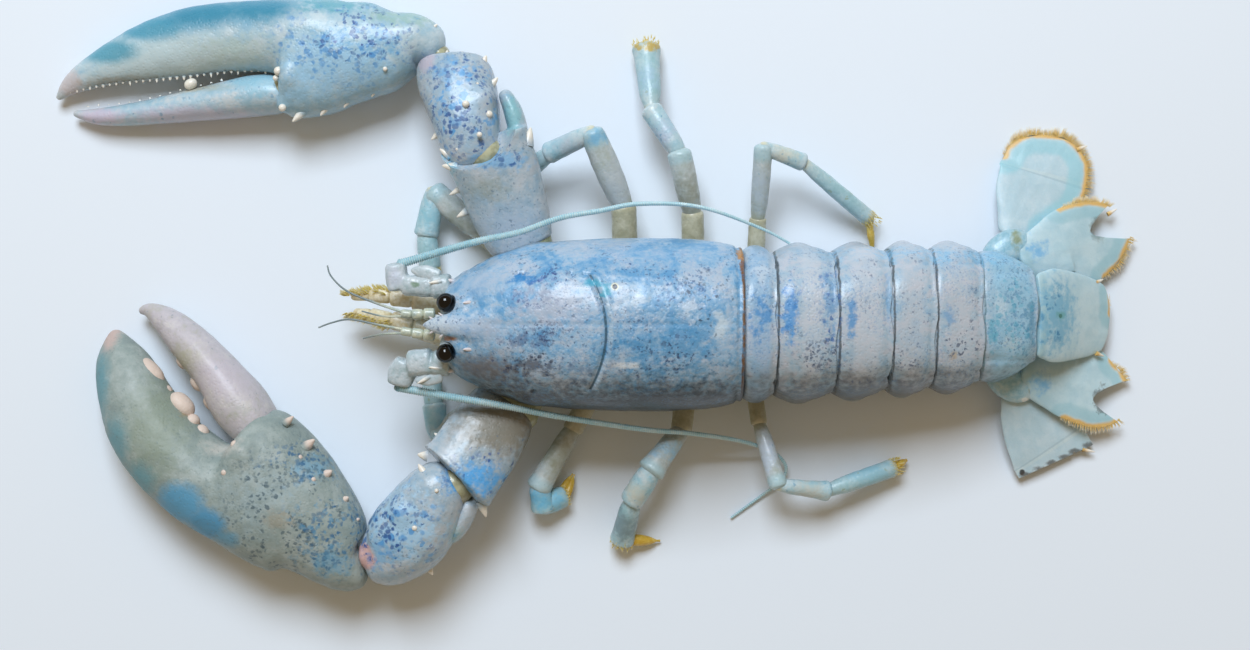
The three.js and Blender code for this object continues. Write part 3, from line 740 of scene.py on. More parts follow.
class Specks(Effect):
    """Small dark dots strewn in drifts, as a mask."""

    name = "Shell specks"
    inputs = (("Vector", "Vector", ORIGIN), ("Scale", "Float", 500.0), ("Size", "Float", 0.3),
              ("Share", "Float", 0.4), ("Drift", "Float", 60.0))
    outputs = (("Mask", "Float"),)

    def wire(self, graph: Graph, given: bpy.types.NodeOutputs) -> dict[str, Socket]:
        """Keep a share of the cells of a cell pattern, more of them where a cloud is thick."""
        wobble = graph.add("TexNoise", Vector=given["Vector"], Scale=given["Scale"], Detail=2.0)
        shifted = graph.add("VectorMath", {"operation": "MULTIPLY_ADD"}, in_0=wobble.outputs["Color"],
                            in_1=(0.0022, 0.0022, 0.0022), in_2=given["Vector"]).outputs[0]
        cells = graph.add("TexVoronoi", {"feature": "F1"}, Vector=shifted, Scale=given["Scale"])
        spread = graph.add("SeparateColor", Color=cells.outputs["Color"])
        drift = graph.noise(given["Vector"], given["Drift"], detail=2)
        chance = graph.math("MULTIPLY", graph.ramp(drift, 0.42, 0.58), given["Share"])
        kept = graph.ramp(graph.math("SUBTRACT", chance, spread.outputs[0]), 0.0, 0.05)
        size = graph.math("MULTIPLY", given["Size"], graph.math("MULTIPLY_ADD", spread.outputs[1], 0.7, 0.5))
        rim = graph.math("MULTIPLY", size, 0.5)
        dot = graph.math("SUBTRACT", 1.0, graph.ramp(cells.outputs["Distance"], rim, size))
        weight = graph.math("MULTIPLY_ADD", spread.outputs[2], 0.4, 0.6)
        return {"Mask": graph.math("MULTIPLY", graph.math("MULTIPLY", dot, kept), weight)}


class Spot(Effect):
    """One soft patch at a place on the body, as a mask with a ragged rim."""

    name = "Patch at a place"
    inputs = (("Vector", "Vector", ORIGIN), ("Centre", "Vector", ORIGIN),
              ("Reach", "Vector", (0.01, 0.01, 0.01)), ("Soft", "Float", 0.5), ("Ragged", "Float", 0.5))
    outputs = (("Mask", "Float"),)

    def wire(self, graph: Graph, given: bpy.types.NodeOutputs) -> dict[str, Socket]:
        """Measure the distance from the centre in patch widths and roughen it."""
        away = graph.add("VectorMath", {"operation": "SUBTRACT"}, in_0=given["Vector"], in_1=given["Centre"])
        shares = graph.add("VectorMath", {"operation": "DIVIDE"}, in_0=away.outputs[0], in_1=given["Reach"])
        distance = graph.add("VectorMath", {"operation": "LENGTH"}, in_0=shares.outputs[0]).outputs["Value"]
        cloud = graph.noise(given["Vector"], 420.0, detail=3, rough=0.6)
        rough = graph.math("MULTIPLY", graph.math("SUBTRACT", cloud, 0.5), given["Ragged"])
        edge = graph.math("MULTIPLY_ADD", rough, 2.4, distance)
        inner = graph.math("SUBTRACT", 1.0, given["Soft"])
        return {"Mask": graph.math("SUBTRACT", 1.0, graph.ramp(edge, inner, 1.0))}


class Band(Effect):
    """A soft band round one value of a number, as a mask."""

    name = "Band along a part"
    inputs = (("Value", "Float", 0.0), ("Centre", "Float", 0.0), ("Width", "Float", 0.1))
    outputs = (("Mask", "Float"),)

    def wire(self, graph: Graph, given: bpy.types.NodeOutputs) -> dict[str, Socket]:
        """Fade from the centre to the width."""
        away = graph.math("ABSOLUTE", graph.math("SUBTRACT", given["Value"], given["Centre"]))
        half = graph.math("MULTIPLY", given["Width"], 0.4)
        return {"Mask": graph.math("SUBTRACT", 1.0, graph.ramp(away, half, given["Width"]))}


class Pits(Effect):
    """The fine pits and grains of shell, as a height."""

    name = "Shell pits"
    inputs = (("Vector", "Vector", ORIGIN), ("Scale", "Float", 900.0), ("Waves", "Float", 0.4))
    outputs = (("Height", "Float"),)

    def wire(self, graph: Graph, given: bpy.types.NodeOutputs) -> dict[str, Socket]:
        """Add small pits to a low swell."""
        cells = graph.add("TexVoronoi", {"feature": "SMOOTH_F1"}, Vector=given["Vector"],
                          Scale=given["Scale"], Smoothness=0.4)
        pits = graph.ramp(cells.outputs["Distance"], 0.05, 0.5)
        swell_height = graph.noise(given["Vector"], 130.0, detail=4)
        return {"Height": graph.math("MULTIPLY_ADD", swell_height, given["Waves"], pits)}


@dataclass(frozen=True)
class Patch:
    """A patch of colour at one place of the body: mostly a marking, and in some looks painted shade or a
    painted highlight. Place and half sizes are in millimetres.
    """

    colour: str
    place: Place
    reach: Place
    strength: float = 0.9
    soft: float = 0.6
    ragged: float = 0.5


@dataclass(frozen=True)
class Stripe:
    """A band of colour round one value along a part."""

    colour: str
    centre: float
    width: float
    strength: float = 0.8


@dataclass(frozen=True)
class Speckle:
    """A scatter of dots: how many to a metre, how large in cells, and how many of the cells are kept.

    A scatter with a place stays within its reach of that place, in millimetres.
    """

    colour: str
    scale: float = 520.0
    size: float = 0.34
    share: float = 0.5
    drift: float = 70.0
    strength: float = 0.85
    place: Place | None = None
    reach: Place = (10.0, 10.0, 30.0)


@dataclass(frozen=True)
class Finish:
    """A look that is made into one material."""

    name: str

    def make(self) -> Material:
        """Build the material the first time, and then give the same one.

        Returns:
            The material.
        """
        ready = bpy.data.materials.get(self.name)
        if ready:
            return ready
        material = bpy.data.materials.new(self.name)
        material.use_nodes = True
        graph = Graph(material.node_tree)
        shader = material.node_tree.nodes["Principled BSDF"]
        self.wire(graph, shader, graph.add("TexCoord").outputs["Object"])
        return material

    def wire(self, graph: Graph, shader: Node, where: Socket) -> None:
        """Wire the look into the shader.

        Args:
            graph: The material's tree.
            shader: Its Principled BSDF.
            where: The object's own coordinates.
        """
        raise NotImplementedError

    @staticmethod
    def rough(graph: Graph, shader: Node, cloud: Socket, low: float, high: float) -> None:
        """Let the roughness drift between two values with a cloud."""
        drift = graph.add("MapRange", Value=cloud, To_Min=low, To_Max=high)
        graph.feed(shader.inputs["Roughness"], drift.outputs[0])

    @staticmethod
    def dented(graph: Graph, shader: Node, height: Socket, strength: float, depth: float) -> None:
        """Feed a height to the shader as a bump, with its depth in metres."""
        bump = graph.add("Bump", Strength=strength, Distance=depth, Height=height)
        graph.feed(shader.inputs["Normal"], bump.outputs["Normal"])

    @staticmethod
    def preset(shader: Node, **values: Value) -> None:
        """Set plain values on the shader, with underscores for spaces in their names."""
        for key, value in values.items():
            shader.inputs[key.replace("_", " ")].default_value = value


@dataclass(frozen=True)
class Shell(Finish):
    """The finish of wet shell: a mottled ground with specks, patches and bands of colour."""

    pale: str
    middle: str
    deep: str
    mottle: float = 70.0
    depth: float = 0.5
    specks: tuple[Speckle, ...] = ()
    patches: tuple[Patch, ...] = ()
    along: tuple[Stripe, ...] = ()
    across_x: tuple[Stripe, ...] = ()
    rim: tuple[Stripe, ...] = ()
    spine_colour: str = "#eeeade"
    underside: str = "#a9a894"
    underside_level: tuple[float, float] = (2.0, 14.0)
    roughness: float = 0.4
    coat: float = 0.35
    bump: float = 0.26
    pit_scale: float = 900.0
    translucency: float = 0.12

    def wire(self, graph: Graph, shader: Node, where: Socket) -> None:
        """Lay ground, underside, bands, patches and specks, and set gloss and bump."""
        ground = graph.group(MOTTLE, Vector=where, Pale=tone(self.pale), Middle=tone(self.middle),
                             Deep=tone(self.deep), Scale=self.mottle, Depth=self.depth).outputs["Color"]
        ground = self.under(graph, where, ground)
        ground = self.banded(graph, where, ground)
        ground = self.patched(graph, where, ground)
        ground = self.specked(graph, where, ground)
        spine_share = graph.ramp(graph.attribute(Attribute.SPINE), *SPINE_FADE)
        colour = graph.mix(spine_share, ground, tone(self.spine_colour))
        graph.feed(shader.inputs["Base Color"], colour)
        smear = graph.noise(where, SMEAR_SCALE, detail=3)
        self.rough(graph, shader, smear, self.roughness * 0.75, self.roughness * 1.35)
        pits = graph.group(PITS, Vector=where, Scale=self.pit_scale).outputs["Height"]
        self.dented(graph, shader, pits, self.bump, PIT_DEPTH)
        self.preset(shader, Coat_Weight=self.coat, Coat_Roughness=0.2, Subsurface_Weight=self.translucency,
                    Subsurface_Radius=(0.8, 1.0, 1.1), Subsurface_Scale=LIGHT_DEPTH)

    def under(self, graph: Graph, where: Socket, ground: Socket) -> Socket:
        """Fade the ground to the underside tone towards the floor: a pale underside on most parts, and
        painted shade on the shield's lower flanks.
        """
        height = graph.add("SeparateXYZ", Vector=where).outputs["Z"]
        low, high = (level * MM for level in self.underside_level)
        share = graph.math("SUBTRACT", 1.0, graph.ramp(height, low, high))
        return graph.mix(graph.math("MULTIPLY", share, UNDERSIDE_SHARE), ground, tone(self.underside))

    def banded(self, graph: Graph, where: Socket, ground: Socket) -> Socket:
        """Lay the bands along the part and across the body over the ground."""
        share = graph.attribute(Attribute.ALONG)
        level = graph.add("SeparateXYZ", Vector=where).outputs["X"]
        cloud = graph.noise(where, RIPPLE_SCALE, detail=3)
        ripple = graph.math("MULTIPLY", graph.math("SUBTRACT", cloud, 0.5), RIPPLE_HEIGHT)
        uneven = graph.math("ADD", level, ripple)
        rim = graph.math("MULTIPLY_ADD", ripple, 1 / MM, graph.attribute(Attribute.FRINGE))
        for value, unit, stripes in (
                (share, 1.0, self.along), (uneven, MM, self.across_x), (rim, 1.0, self.rim)):
            for stripe in stripes:
                mask = graph.group(BAND, Value=value, Centre=stripe.centre * unit, Width=stripe.width * unit)
                strength = graph.math("MULTIPLY", mask.outputs["Mask"], stripe.strength)
                ground = graph.mix(strength, ground, tone(stripe.colour))
        return ground

    def patched(self, graph: Graph, where: Socket, ground: Socket) -> Socket:
        """Lay the patches over the ground."""
        for patch in self.patches:
            mask = graph.group(SPOT, Vector=where, Centre=tuple(scaled(patch.place)),
                               Reach=tuple(scaled(patch.reach)), Soft=patch.soft, Ragged=patch.ragged)
            strength = graph.math("MULTIPLY", mask.outputs["Mask"], patch.strength)
            ground = graph.mix(strength, ground, tone(patch.colour))
        return ground

    def specked(self, graph: Graph, where: Socket, ground: Socket) -> Socket:
        """Strew the specks over the ground."""
        for speckle in self.specks:
            mask = graph.group(SPECKS, Vector=where, Scale=speckle.scale, Size=speckle.size,
                               Share=speckle.share, Drift=speckle.drift)
            strength = graph.math("MULTIPLY", mask.outputs["Mask"], speckle.strength)
            if speckle.place:
                area = graph.group(SPOT, Vector=where, Centre=tuple(scaled(speckle.place)),
                                   Reach=tuple(scaled(speckle.reach)), Soft=0.6, Ragged=0.5)
                strength = graph.math("MULTIPLY", strength, area.outputs["Mask"])
            ground = graph.mix(strength, ground, tone(speckle.colour))
        return ground


@dataclass(frozen=True)
class Soft(Finish):
    """The finish of soft skin, hair and eyes: two tones and a plain gloss."""

    pale: str
    deep: str
    scale: float = 200.0
    roughness: float = 0.4
    coat: float = 0.3
    bump: float = 0.3
    translucency: float = 0.2
    tip: str | None = None

    def wire(self, graph: Graph, shader: Node, where: Socket) -> None:
        """Mix the two tones by a cloud, add the tips' tone, and set gloss and bump."""
        cloud = graph.noise(where, self.scale, detail=4)
        colour = graph.mix(graph.ramp(cloud, 0.35, 0.65), tone(self.pale), tone(self.deep))
        if self.tip:
            far = graph.ramp(graph.attribute(Attribute.ALONG), 0.3, 1.0)
            colour = graph.mix(far, colour, tone(self.tip))
        graph.feed(shader.inputs["Base Color"], colour)
        self.rough(graph, shader, cloud, self.roughness * 0.7, self.roughness * 1.3)
        self.dented(graph, shader, graph.noise(where, self.scale * 6), self.bump, GRAIN_DEPTH)
        self.preset(shader, Coat_Weight=self.coat, Coat_Roughness=0.08, Subsurface_Weight=self.translucency,
                    Subsurface_Radius=(1.0, 0.9, 0.7), Subsurface_Scale=LIGHT_DEPTH)


MOTTLE, SPECKS, SPOT, BAND, PITS = Mottle(), Specks(), Spot(), Band(), Pits()
SPINE_FADE = (0.05, 0.6)
SMEAR_SCALE = 260.0
RIPPLE_SCALE = 300.0
RIPPLE_HEIGHT = 0.0012
PIT_DEPTH = 0.0003
GRAIN_DEPTH = 0.0002
UNDERSIDE_SHARE = 0.85
LIGHT_DEPTH = 0.0015


# Body


@dataclass(frozen=True)
class Carapace:
    """The shield over head and thorax, with its rostrum, sockets, groove, ridges and spines."""

    stations: Rows = (
        (-56.5, -0.5, 33, 13.0, 11.0, 10), (-53.5, -0.45, 32, 15.4, 14.8, 10.6),
        (-50, -0.4, 31, 17.6, 17.4, 11),
        (-40, 0, 29, 22.4, 22.4, 11.5), (-24, 0, 27, 26.2, 27.4, 12), (-6, 0, 26, 27.4, 30, 12),
        (12, 0, 26, 27.6, 29.8, 12.5), (28, 0, 26, 26.6, 28.6, 13), (37.2, 0, 26, 24.4, 27, 13),
    )
    rostrum: Rows = (
        (-30, 0, 49.2, 11.0, 2.8), (-38, -0.1, 48.4, 9.2, 3.4), (-45, -0.2, 47.5, 6.8, 3.4),
        (-50, -0.2, 46.9, 5.0, 3.1), (-54.6, -0.2, 46.4, 3.8, 2.5), (-59.4, -0.2, 46.1, 2.5, 1.7),
        (-63.2, -0.2, 46.0, 0.5, 0.5),
    )
    rostrum_spines: Spikes = (
        ((-59.6, 1.5, 46.4), (-61.0, 2.5, 46.6), 0.5), ((-56.4, 2.5, 46.8), (-58.0, 3.7, 47.0), 0.5),
        ((-59.4, -1.9, 46.4), (-60.8, -2.9, 46.6), 0.5), ((-56.2, -2.9, 46.8), (-57.8, -4.1, 47.0), 0.5),
    )
    back_spines: Spikes = (
        ((-46.2, 6.9, 46.6), (-50.2, 6.7, 48.6), 1.2), ((-46.2, -7.7, 46.6), (-50.2, -7.7, 48.6), 1.2),
        ((-43.6, -13.7, 43.2), (-45.2, -14.0, 44.4), 0.7), ((-53.0, 13.4, 37.6), (-56.6, 14.2, 38.6), 1.0),
        ((-53.2, -14.2, 37.4), (-57.0, -15.0, 38.2), 1.0), ((23.6, 14.1, 50.2), (22.8, 14.3, 51.2), 0.7),
    )
    groove_middle: float = -5.8
    groove_curve: float = 0.016
    groove_heart: float = -2.4
    groove_reach: float = 17.9
    rear_rim: float = 35.4
    groove_cut: Row = (-0.7, 1.3)
    groove_lip: Row = (0.2, 2.0)
    keel_cut: Row = (-0.16, 0.9)
    rim_cut: Row = (-0.5, 0.9)
    brow: tuple[Place, float] = ((0.4, 0, 1.0), 5)
    socket_shift: Place = (-1.0, 0, 1.2)
    socket_radii: Place = (4.5, 3.9, 4.6)
    pulls: Spikes = (((-30, 25, 34), (0, 0.8, 0.2), 9), ((-20, 12, 52), (0, 0, 0.5), 9),
                     ((-44, 19, 38), (0, -0.7, -0.2), 6))
    waves: Pairs = ((7, 0.5), (1.6, 0.08))

    def from_groove(self, place: Vector) -> float:
        """How far behind the cervical groove a place lies, growing fast beyond the groove's ends."""
        aside = place.y - self.groove_heart
        beyond = max(0.0, abs(aside) - self.groove_reach)
        return place.x - self.groove_middle + self.groove_curve * aside ** 2 + 40 * beyond

    def build(self, finish: Shell) -> Object:
        """Model the shield and give it its finish.

        Args:
            finish: The shell's look.

        Returns:
            The carapace.
        """
        skins = [
            Barrel(self.stations, squareness=0.88).build("shield"),
            Limb(self.rostrum, sides=20, between=4, tip_dome=1.2).build("rostrum"),
        ]
        shield = fused("carapace", skins, 0.5, 6)
        for eye in EYE_SPOTS:
            pull(shield, (-51.4, eye[1] * 0.92, 46), *self.brow)
        swell(shield, lambda place: abs(self.from_groove(place)) < 0.45 and place.z > 22, *self.groove_cut)
        swell(shield, lambda place: 0.9 < self.from_groove(place) < 2.2 and place.z > 30, *self.groove_lip)
        swell(shield, lambda place: abs(place.y) < 0.3 and -42 < place.x < 35 and place.z > 45,
              *self.keel_cut)
        swell(shield, lambda place: abs(place.x - self.rear_rim) < 0.5 and place.z > 18, *self.rim_cut)
        for side in Side:
            for place, offset, reach in self.pulls:
                pull(shield, side.mirrored(place), side.mirrored(offset), reach)
        roughened(shield, self.waves)
        for eye in EYE_SPOTS:
            centre = tuple(number + shift for number, shift in zip(eye, self.socket_shift))
            cut_away(shield, knob(centre, self.socket_radii, 24))
        spines = [spine(*item) for item in self.rostrum_spines + self.back_spines]
        shell = joined("carapace", [shield, *spines])
        mark(shell, Attribute.ALONG, self.from_groove)
        return placed(smoothed(shell), finish, "front_shell", "carapace_front", "carapace_rear")


EYE_SPOTS: tuple[Place, Place] = ((-55.9, 6.8, 44.4), (-56.0, -8.9, 44.4))


@dataclass(frozen=True)
class Eyes:
    """Two black eyes on short stalks."""

    radius: float = 3.05

    def build(self, gloss: Soft, stalk_finish: Shell) -> list[Object]:
        """Model both eyes and stalks.

        Args:
            gloss: The eyes' look.
            stalk_finish: The stalks' look.

        Returns:
            The pieces.
        """
        pieces = []
        for side, spot in zip(Side, EYE_SPOTS):
            x, y, z = spot
            eye = knob(spot, (self.radius * 0.96, self.radius, self.radius), 40, 0.0)
            swell(eye, lambda place, y=y: (place.y - y) * side.value < -1.2, -0.12, 1.4)
            eye.name = f"eye_{side.word}"
            pieces.append(placed(smoothed(eye, 80), gloss, "eye", f"eye_{side.word}"))
            middle = -1.0
            stalk = Limb(
                ((x + 0.6, middle + side.value * 2.2, z - 4.6, 1.4, 1.5),
                 (x, middle + side.value * 4.2, z - 3.4, 1.7, 1.7),
                 (x, y - side.value * 1.8, z - 1.9, 2.1, 2.0), (x, y - side.value * 0.5, z - 1.1, 2.4, 2.2)),
                sides=20, tip_dome=0.6,
            )
            post = smoothed(stalk.build(f"eyestalk_{side.word}"))
            pieces.append(placed(post, stalk_finish, "eyestalk", f"eyestalk_{side.word}"))
        return pieces


@dataclass(frozen=True)
class Seam:
    """A seam between two rings of the abdomen, and the lobes of the ring behind it."""

    x: float
    y: float
    width: float
    top: float
    lobe: float


@dataclass(frozen=True)
class Abdomen:
    """Six overlapping rings with pointed side lobes."""

    seams: tuple[Seam, ...] = (
        Seam(37.5, 0, 22.8, 51, 13.4), Seam(47.1, 0.2, 22.6, 49.5, 0.0), Seam(66.1, 0.6, 22.4, 48, 0.0),
        Seam(83.4, 1.4, 22.0, 45, 0.0), Seam(97.5, 2, 21.8, 41.5, 0.0), Seam(113.2, 2.6, 20.8, 36.5, 3.2),
        Seam(131.4, 2.9, 14.4, 28.5, 3.2),
    )
    level: float = 18
    bulge: float = 3.6
    base_width_cut: float = 0.8
    back_bulge: float = 0.9
    lobe_lift: float = 9.0
    overlap: float = 1.5
    shares: Row = (0, 0.05, 0.14, 0.3, 0.42, 0.6, 0.8, 0.94, 1)
    edge_waves: Pairs = ((-0.75, 0.5), (-0.3, -0.7), (0.15, 0.8), (0.6, -0.6))
    edge_push: float = 0.9
    edge_reach: float = 6
    fold_cut: Row = (-0.25, 1.2)
    rear_cut: Row = (-0.22, 0.9)
    waves: Pairs = ((6, 0.5), (1.8, 0.08))

    def station(self, index: int, share: float) -> Row:
        """One ring of a segment at a share of its length.

        Args:
            index: Which segment, from the front.
            share: Where along it, from its tucked front edge to its free rear edge.

        Returns:
            The station for a barrel.
        """
        front, rear = self.seams[index], self.seams[index + 1]

        def blend(start: float, end: float) -> float:
            """The value between two ends at this share."""
            return start + (end - start) * share

        full = min(1.0, 0.1 + share * 3.4) * (1 - 0.2 * max(0.0, share - 0.45))
        wide = math.sin(math.pi * (0.06 + 0.86 * share)) - self.base_width_cut / self.bulge
        tuck = 1.5 * max(0.0, 1 - share / 0.14)
        lift = self.lobe_lift * abs(share - 0.42) ** 1.5 * 1.6
        return (
            blend(front.x - self.overlap, rear.x + 0.25), blend(front.y, rear.y), self.level,
            blend(front.width, rear.width) + self.bulge * wide - tuck,
            blend(front.top, rear.top) - self.level + self.back_bulge * full - tuck * 0.8,
            self.level - max(front.lobe + lift, 0.05),
        )

    def segment(self, index: int) -> Object:
        """Model one ring: its arched back, side lobes and the hollow between them.

        Args:
            index: Which segment, from the front.

        Returns:
            The ring.
        """
        rows = tuple(self.station(index, share) for share in self.shares)
        ring = refined(Barrel(rows, sides=40, between=2, squareness=0.74).build(f"abdomen_{index + 1}"), 1)
        front, rear = self.seams[index], self.seams[index + 1]
        middle = (front.y + rear.y) / 2
        half = (front.width + rear.width) / 2
        with shaping(ring):
            pick(ring, lambda place: abs(place.y - middle) < half - 4.5 and place.z < 9)
            resize((1, 1, 0.05), scaled((front.x, middle, 9)))
        length = rear.x - front.x
        swell(ring, lambda place: abs(place.x - rear.x + length * 0.1) < 0.4 and place.z > 10, *self.rear_cut)
        for share, shift in self.edge_waves:
            push = shift * (1 if index % 2 else -1) * self.edge_push
            rim = (rear.x, middle + share * half, rear.top * (1 - 0.3 * share ** 2))
            pull(ring, rim, (push, 0, 0), self.edge_reach)
        for sign in (1, -1):
            pull(ring, (front.x + length * 0.46, middle + sign * half, 12),
                 (0, sign * 1.4, 0.4), length * 0.5)
            pull(ring, (front.x + length * 0.2, middle + sign * half * 0.8, 32), (0, -sign * 0.5, -0.4), 5)
            swell(ring, lambda place: abs(abs(place.y - middle) - half * 0.8) < 0.5 and place.z > 24,
                  *self.fold_cut)
        return roughened(ring, self.waves)

    def build(self, finish: Shell) -> list[Object]:
        """Model all six rings.

        Args:
            finish: The shell's look.

        Returns:
            The rings, front to back.
        """
        return [
            placed(smoothed(self.segment(index)), finish, "tail_shell", f"abdomen_{index + 1}")
            for index in range(len(self.seams) - 1)
        ]


@dataclass(frozen=True)
class Underside:
    """The breastplate between the legs and the soft underside of the abdomen with its swimmerets."""

    breast: Rows = (
        (-57, 0, 16, 7, 10, 6), (-48, 0, 12, 12, 14, 10), (-30, 0, 10, 17, 14, 9.9), (0, 0, 9, 19, 18, 8.9),
        (26, 0, 9, 18, 18, 8.9), (46.0, 0, 8, 14, 14, 7.9),
    )
    hips: tuple[float, ...] = (-31, -17, 0, 21, 41)
    swimmeret_x: tuple[float, ...] = (57, 75, 91, 106)
    socket_place: Place = (0, 13.6, 7.4)
    socket_radii: Place = (5.6, 6.4, 6.0)
    leans: tuple[float, float] = (5.6, 11.0)

    def build(self, skin: Soft, fringe: Soft) -> list[Object]:
        """Model the breastplate with its leg sockets, and the swimmerets.

        Args:
            skin: The look of the soft underside.
            fringe: The look of the swimmerets.

        Returns:
            The pieces.
        """
        plate = refined(Barrel(self.breast, sides=32, between=4, squareness=0.7).build("thorax_underside"), 1)
        swell(plate, lambda place: abs(place.y) < 1.6 and place.z < 4, -1.2, 3)
        sockets = []
        for x in self.hips:
            for sign in (1, -1):
                _, aside, level = self.socket_place
                sockets.append(knob((x, sign * aside, level), self.socket_radii, 20, 0.0))
        flesh = joined("thorax_underside", [plate, *sockets])
        pieces = [placed(smoothed(flesh), skin, "belly", "thorax_underside")]
        blades = []
        for x in self.swimmeret_x:
            for sign in (1, -1):
                for lean in self.leans:
                    leaf = Limb(
                        ((x, sign * lean + 2, 9.2, 1.2, 0.7), (x + 4, sign * (lean + 1) + 2, 6.6, 2.6, 0.5),
                         (x + 9, sign * (lean + 2) + 2, 3.4, 2.2, 0.4),
                         (x + 13, sign * (lean + 2.4) + 2, 1.2, 0.7, 0.3)),
                        sides=12, between=3, tip_dome=0.8,
                    )
                    blades.append(leaf.build("swimmeret"))
        leaves = joined("swimmerets", blades)
        pieces.append(placed(smoothed(leaves), fringe, "belly"))
        return pieces


@dataclass(frozen=True)
class RimStep:
    """One step round a rim: its place, the way out, its share of the walk and how far its fringe's end is."""

    place: Vector
    out: Vector
    share: float
    to_end: float


@dataclass(frozen=True)
class Blade:
    """One plate of the tail fan: its stations, fringes, hinge line, notches and torn edge.

    A fringe runs between two shares of the walk round the rim. A notch is a wedge from its open end to
    its point, with the half width of the open end. The torn edge cuts all beyond its line away.
    """

    node: str
    stations: Rows
    fringe: Pairs = ()
    fringe_length: float = 2.5
    hinge_line: float | None = None
    notches: Spikes = ()
    torn: tuple[Place, Place] | None = None

    def lacks(self, spot: Vector) -> bool:
        """Whether a notch has taken this place of the rim away."""
        for foot, point, radius in self.notches:
            axis = Vector(foot) - Vector(point)
            share = (spot - Vector(point)).dot(axis) / axis.length_squared
            aside = (spot - Vector(point) - axis * share).length
            if share > 0 and aside < radius * share:
                return True
        return False

    def outline(self) -> list[Vector]:
        """The rim as a walk from the root round the tip and back."""
        rows = smooth_rows(self.stations, 6)
        middles = [Vector(row[:3]) for row in rows]
        rims: tuple[list[Vector], list[Vector]] = ([], [])
        for index, row in enumerate(rows):
            ahead = middles[min(index + 1, len(rows) - 1)] - middles[max(index - 1, 0)]
            side = ahead.normalized().cross(UP).normalized()
            for rim, sign in zip(rims, (1, -1)):
                rim.append(middles[index] - side * sign * row[3] * 0.99)
        return rims[0] + rims[1][::-1]

    def fringed(self, spacing: float) -> list[RimStep]:
        """Walk the fringed stretches of the rim, past the notches.

        Args:
            spacing: Length of a step in millimetres.

        Returns:
            The steps.
        """
        line = self.outline()
        heart = sum(line, Vector()) / len(line)
        lengths = running_lengths(line)
        whole = lengths[-1]
        found = []
        for start, end in self.fringe:
            for step in range(int((end - start) * whole / spacing)):
                distance = start * whole + step * spacing
                spot = Vector(between_rows(line, lengths, distance))
                if self.lacks(spot):
                    continue
                out = (Vector(between_rows(line, lengths, distance + 0.6)) - spot).cross(UP)
                if out.length < 1e-6:
                    out = spot - heart
                out.z = 0
                out.normalize()
                if out.dot(spot - heart) < 0:
                    out.negate()
                to_end = min(step * spacing, end * whole - distance)
                found.append(RimStep(spot, out, distance / whole, to_end))
        return found


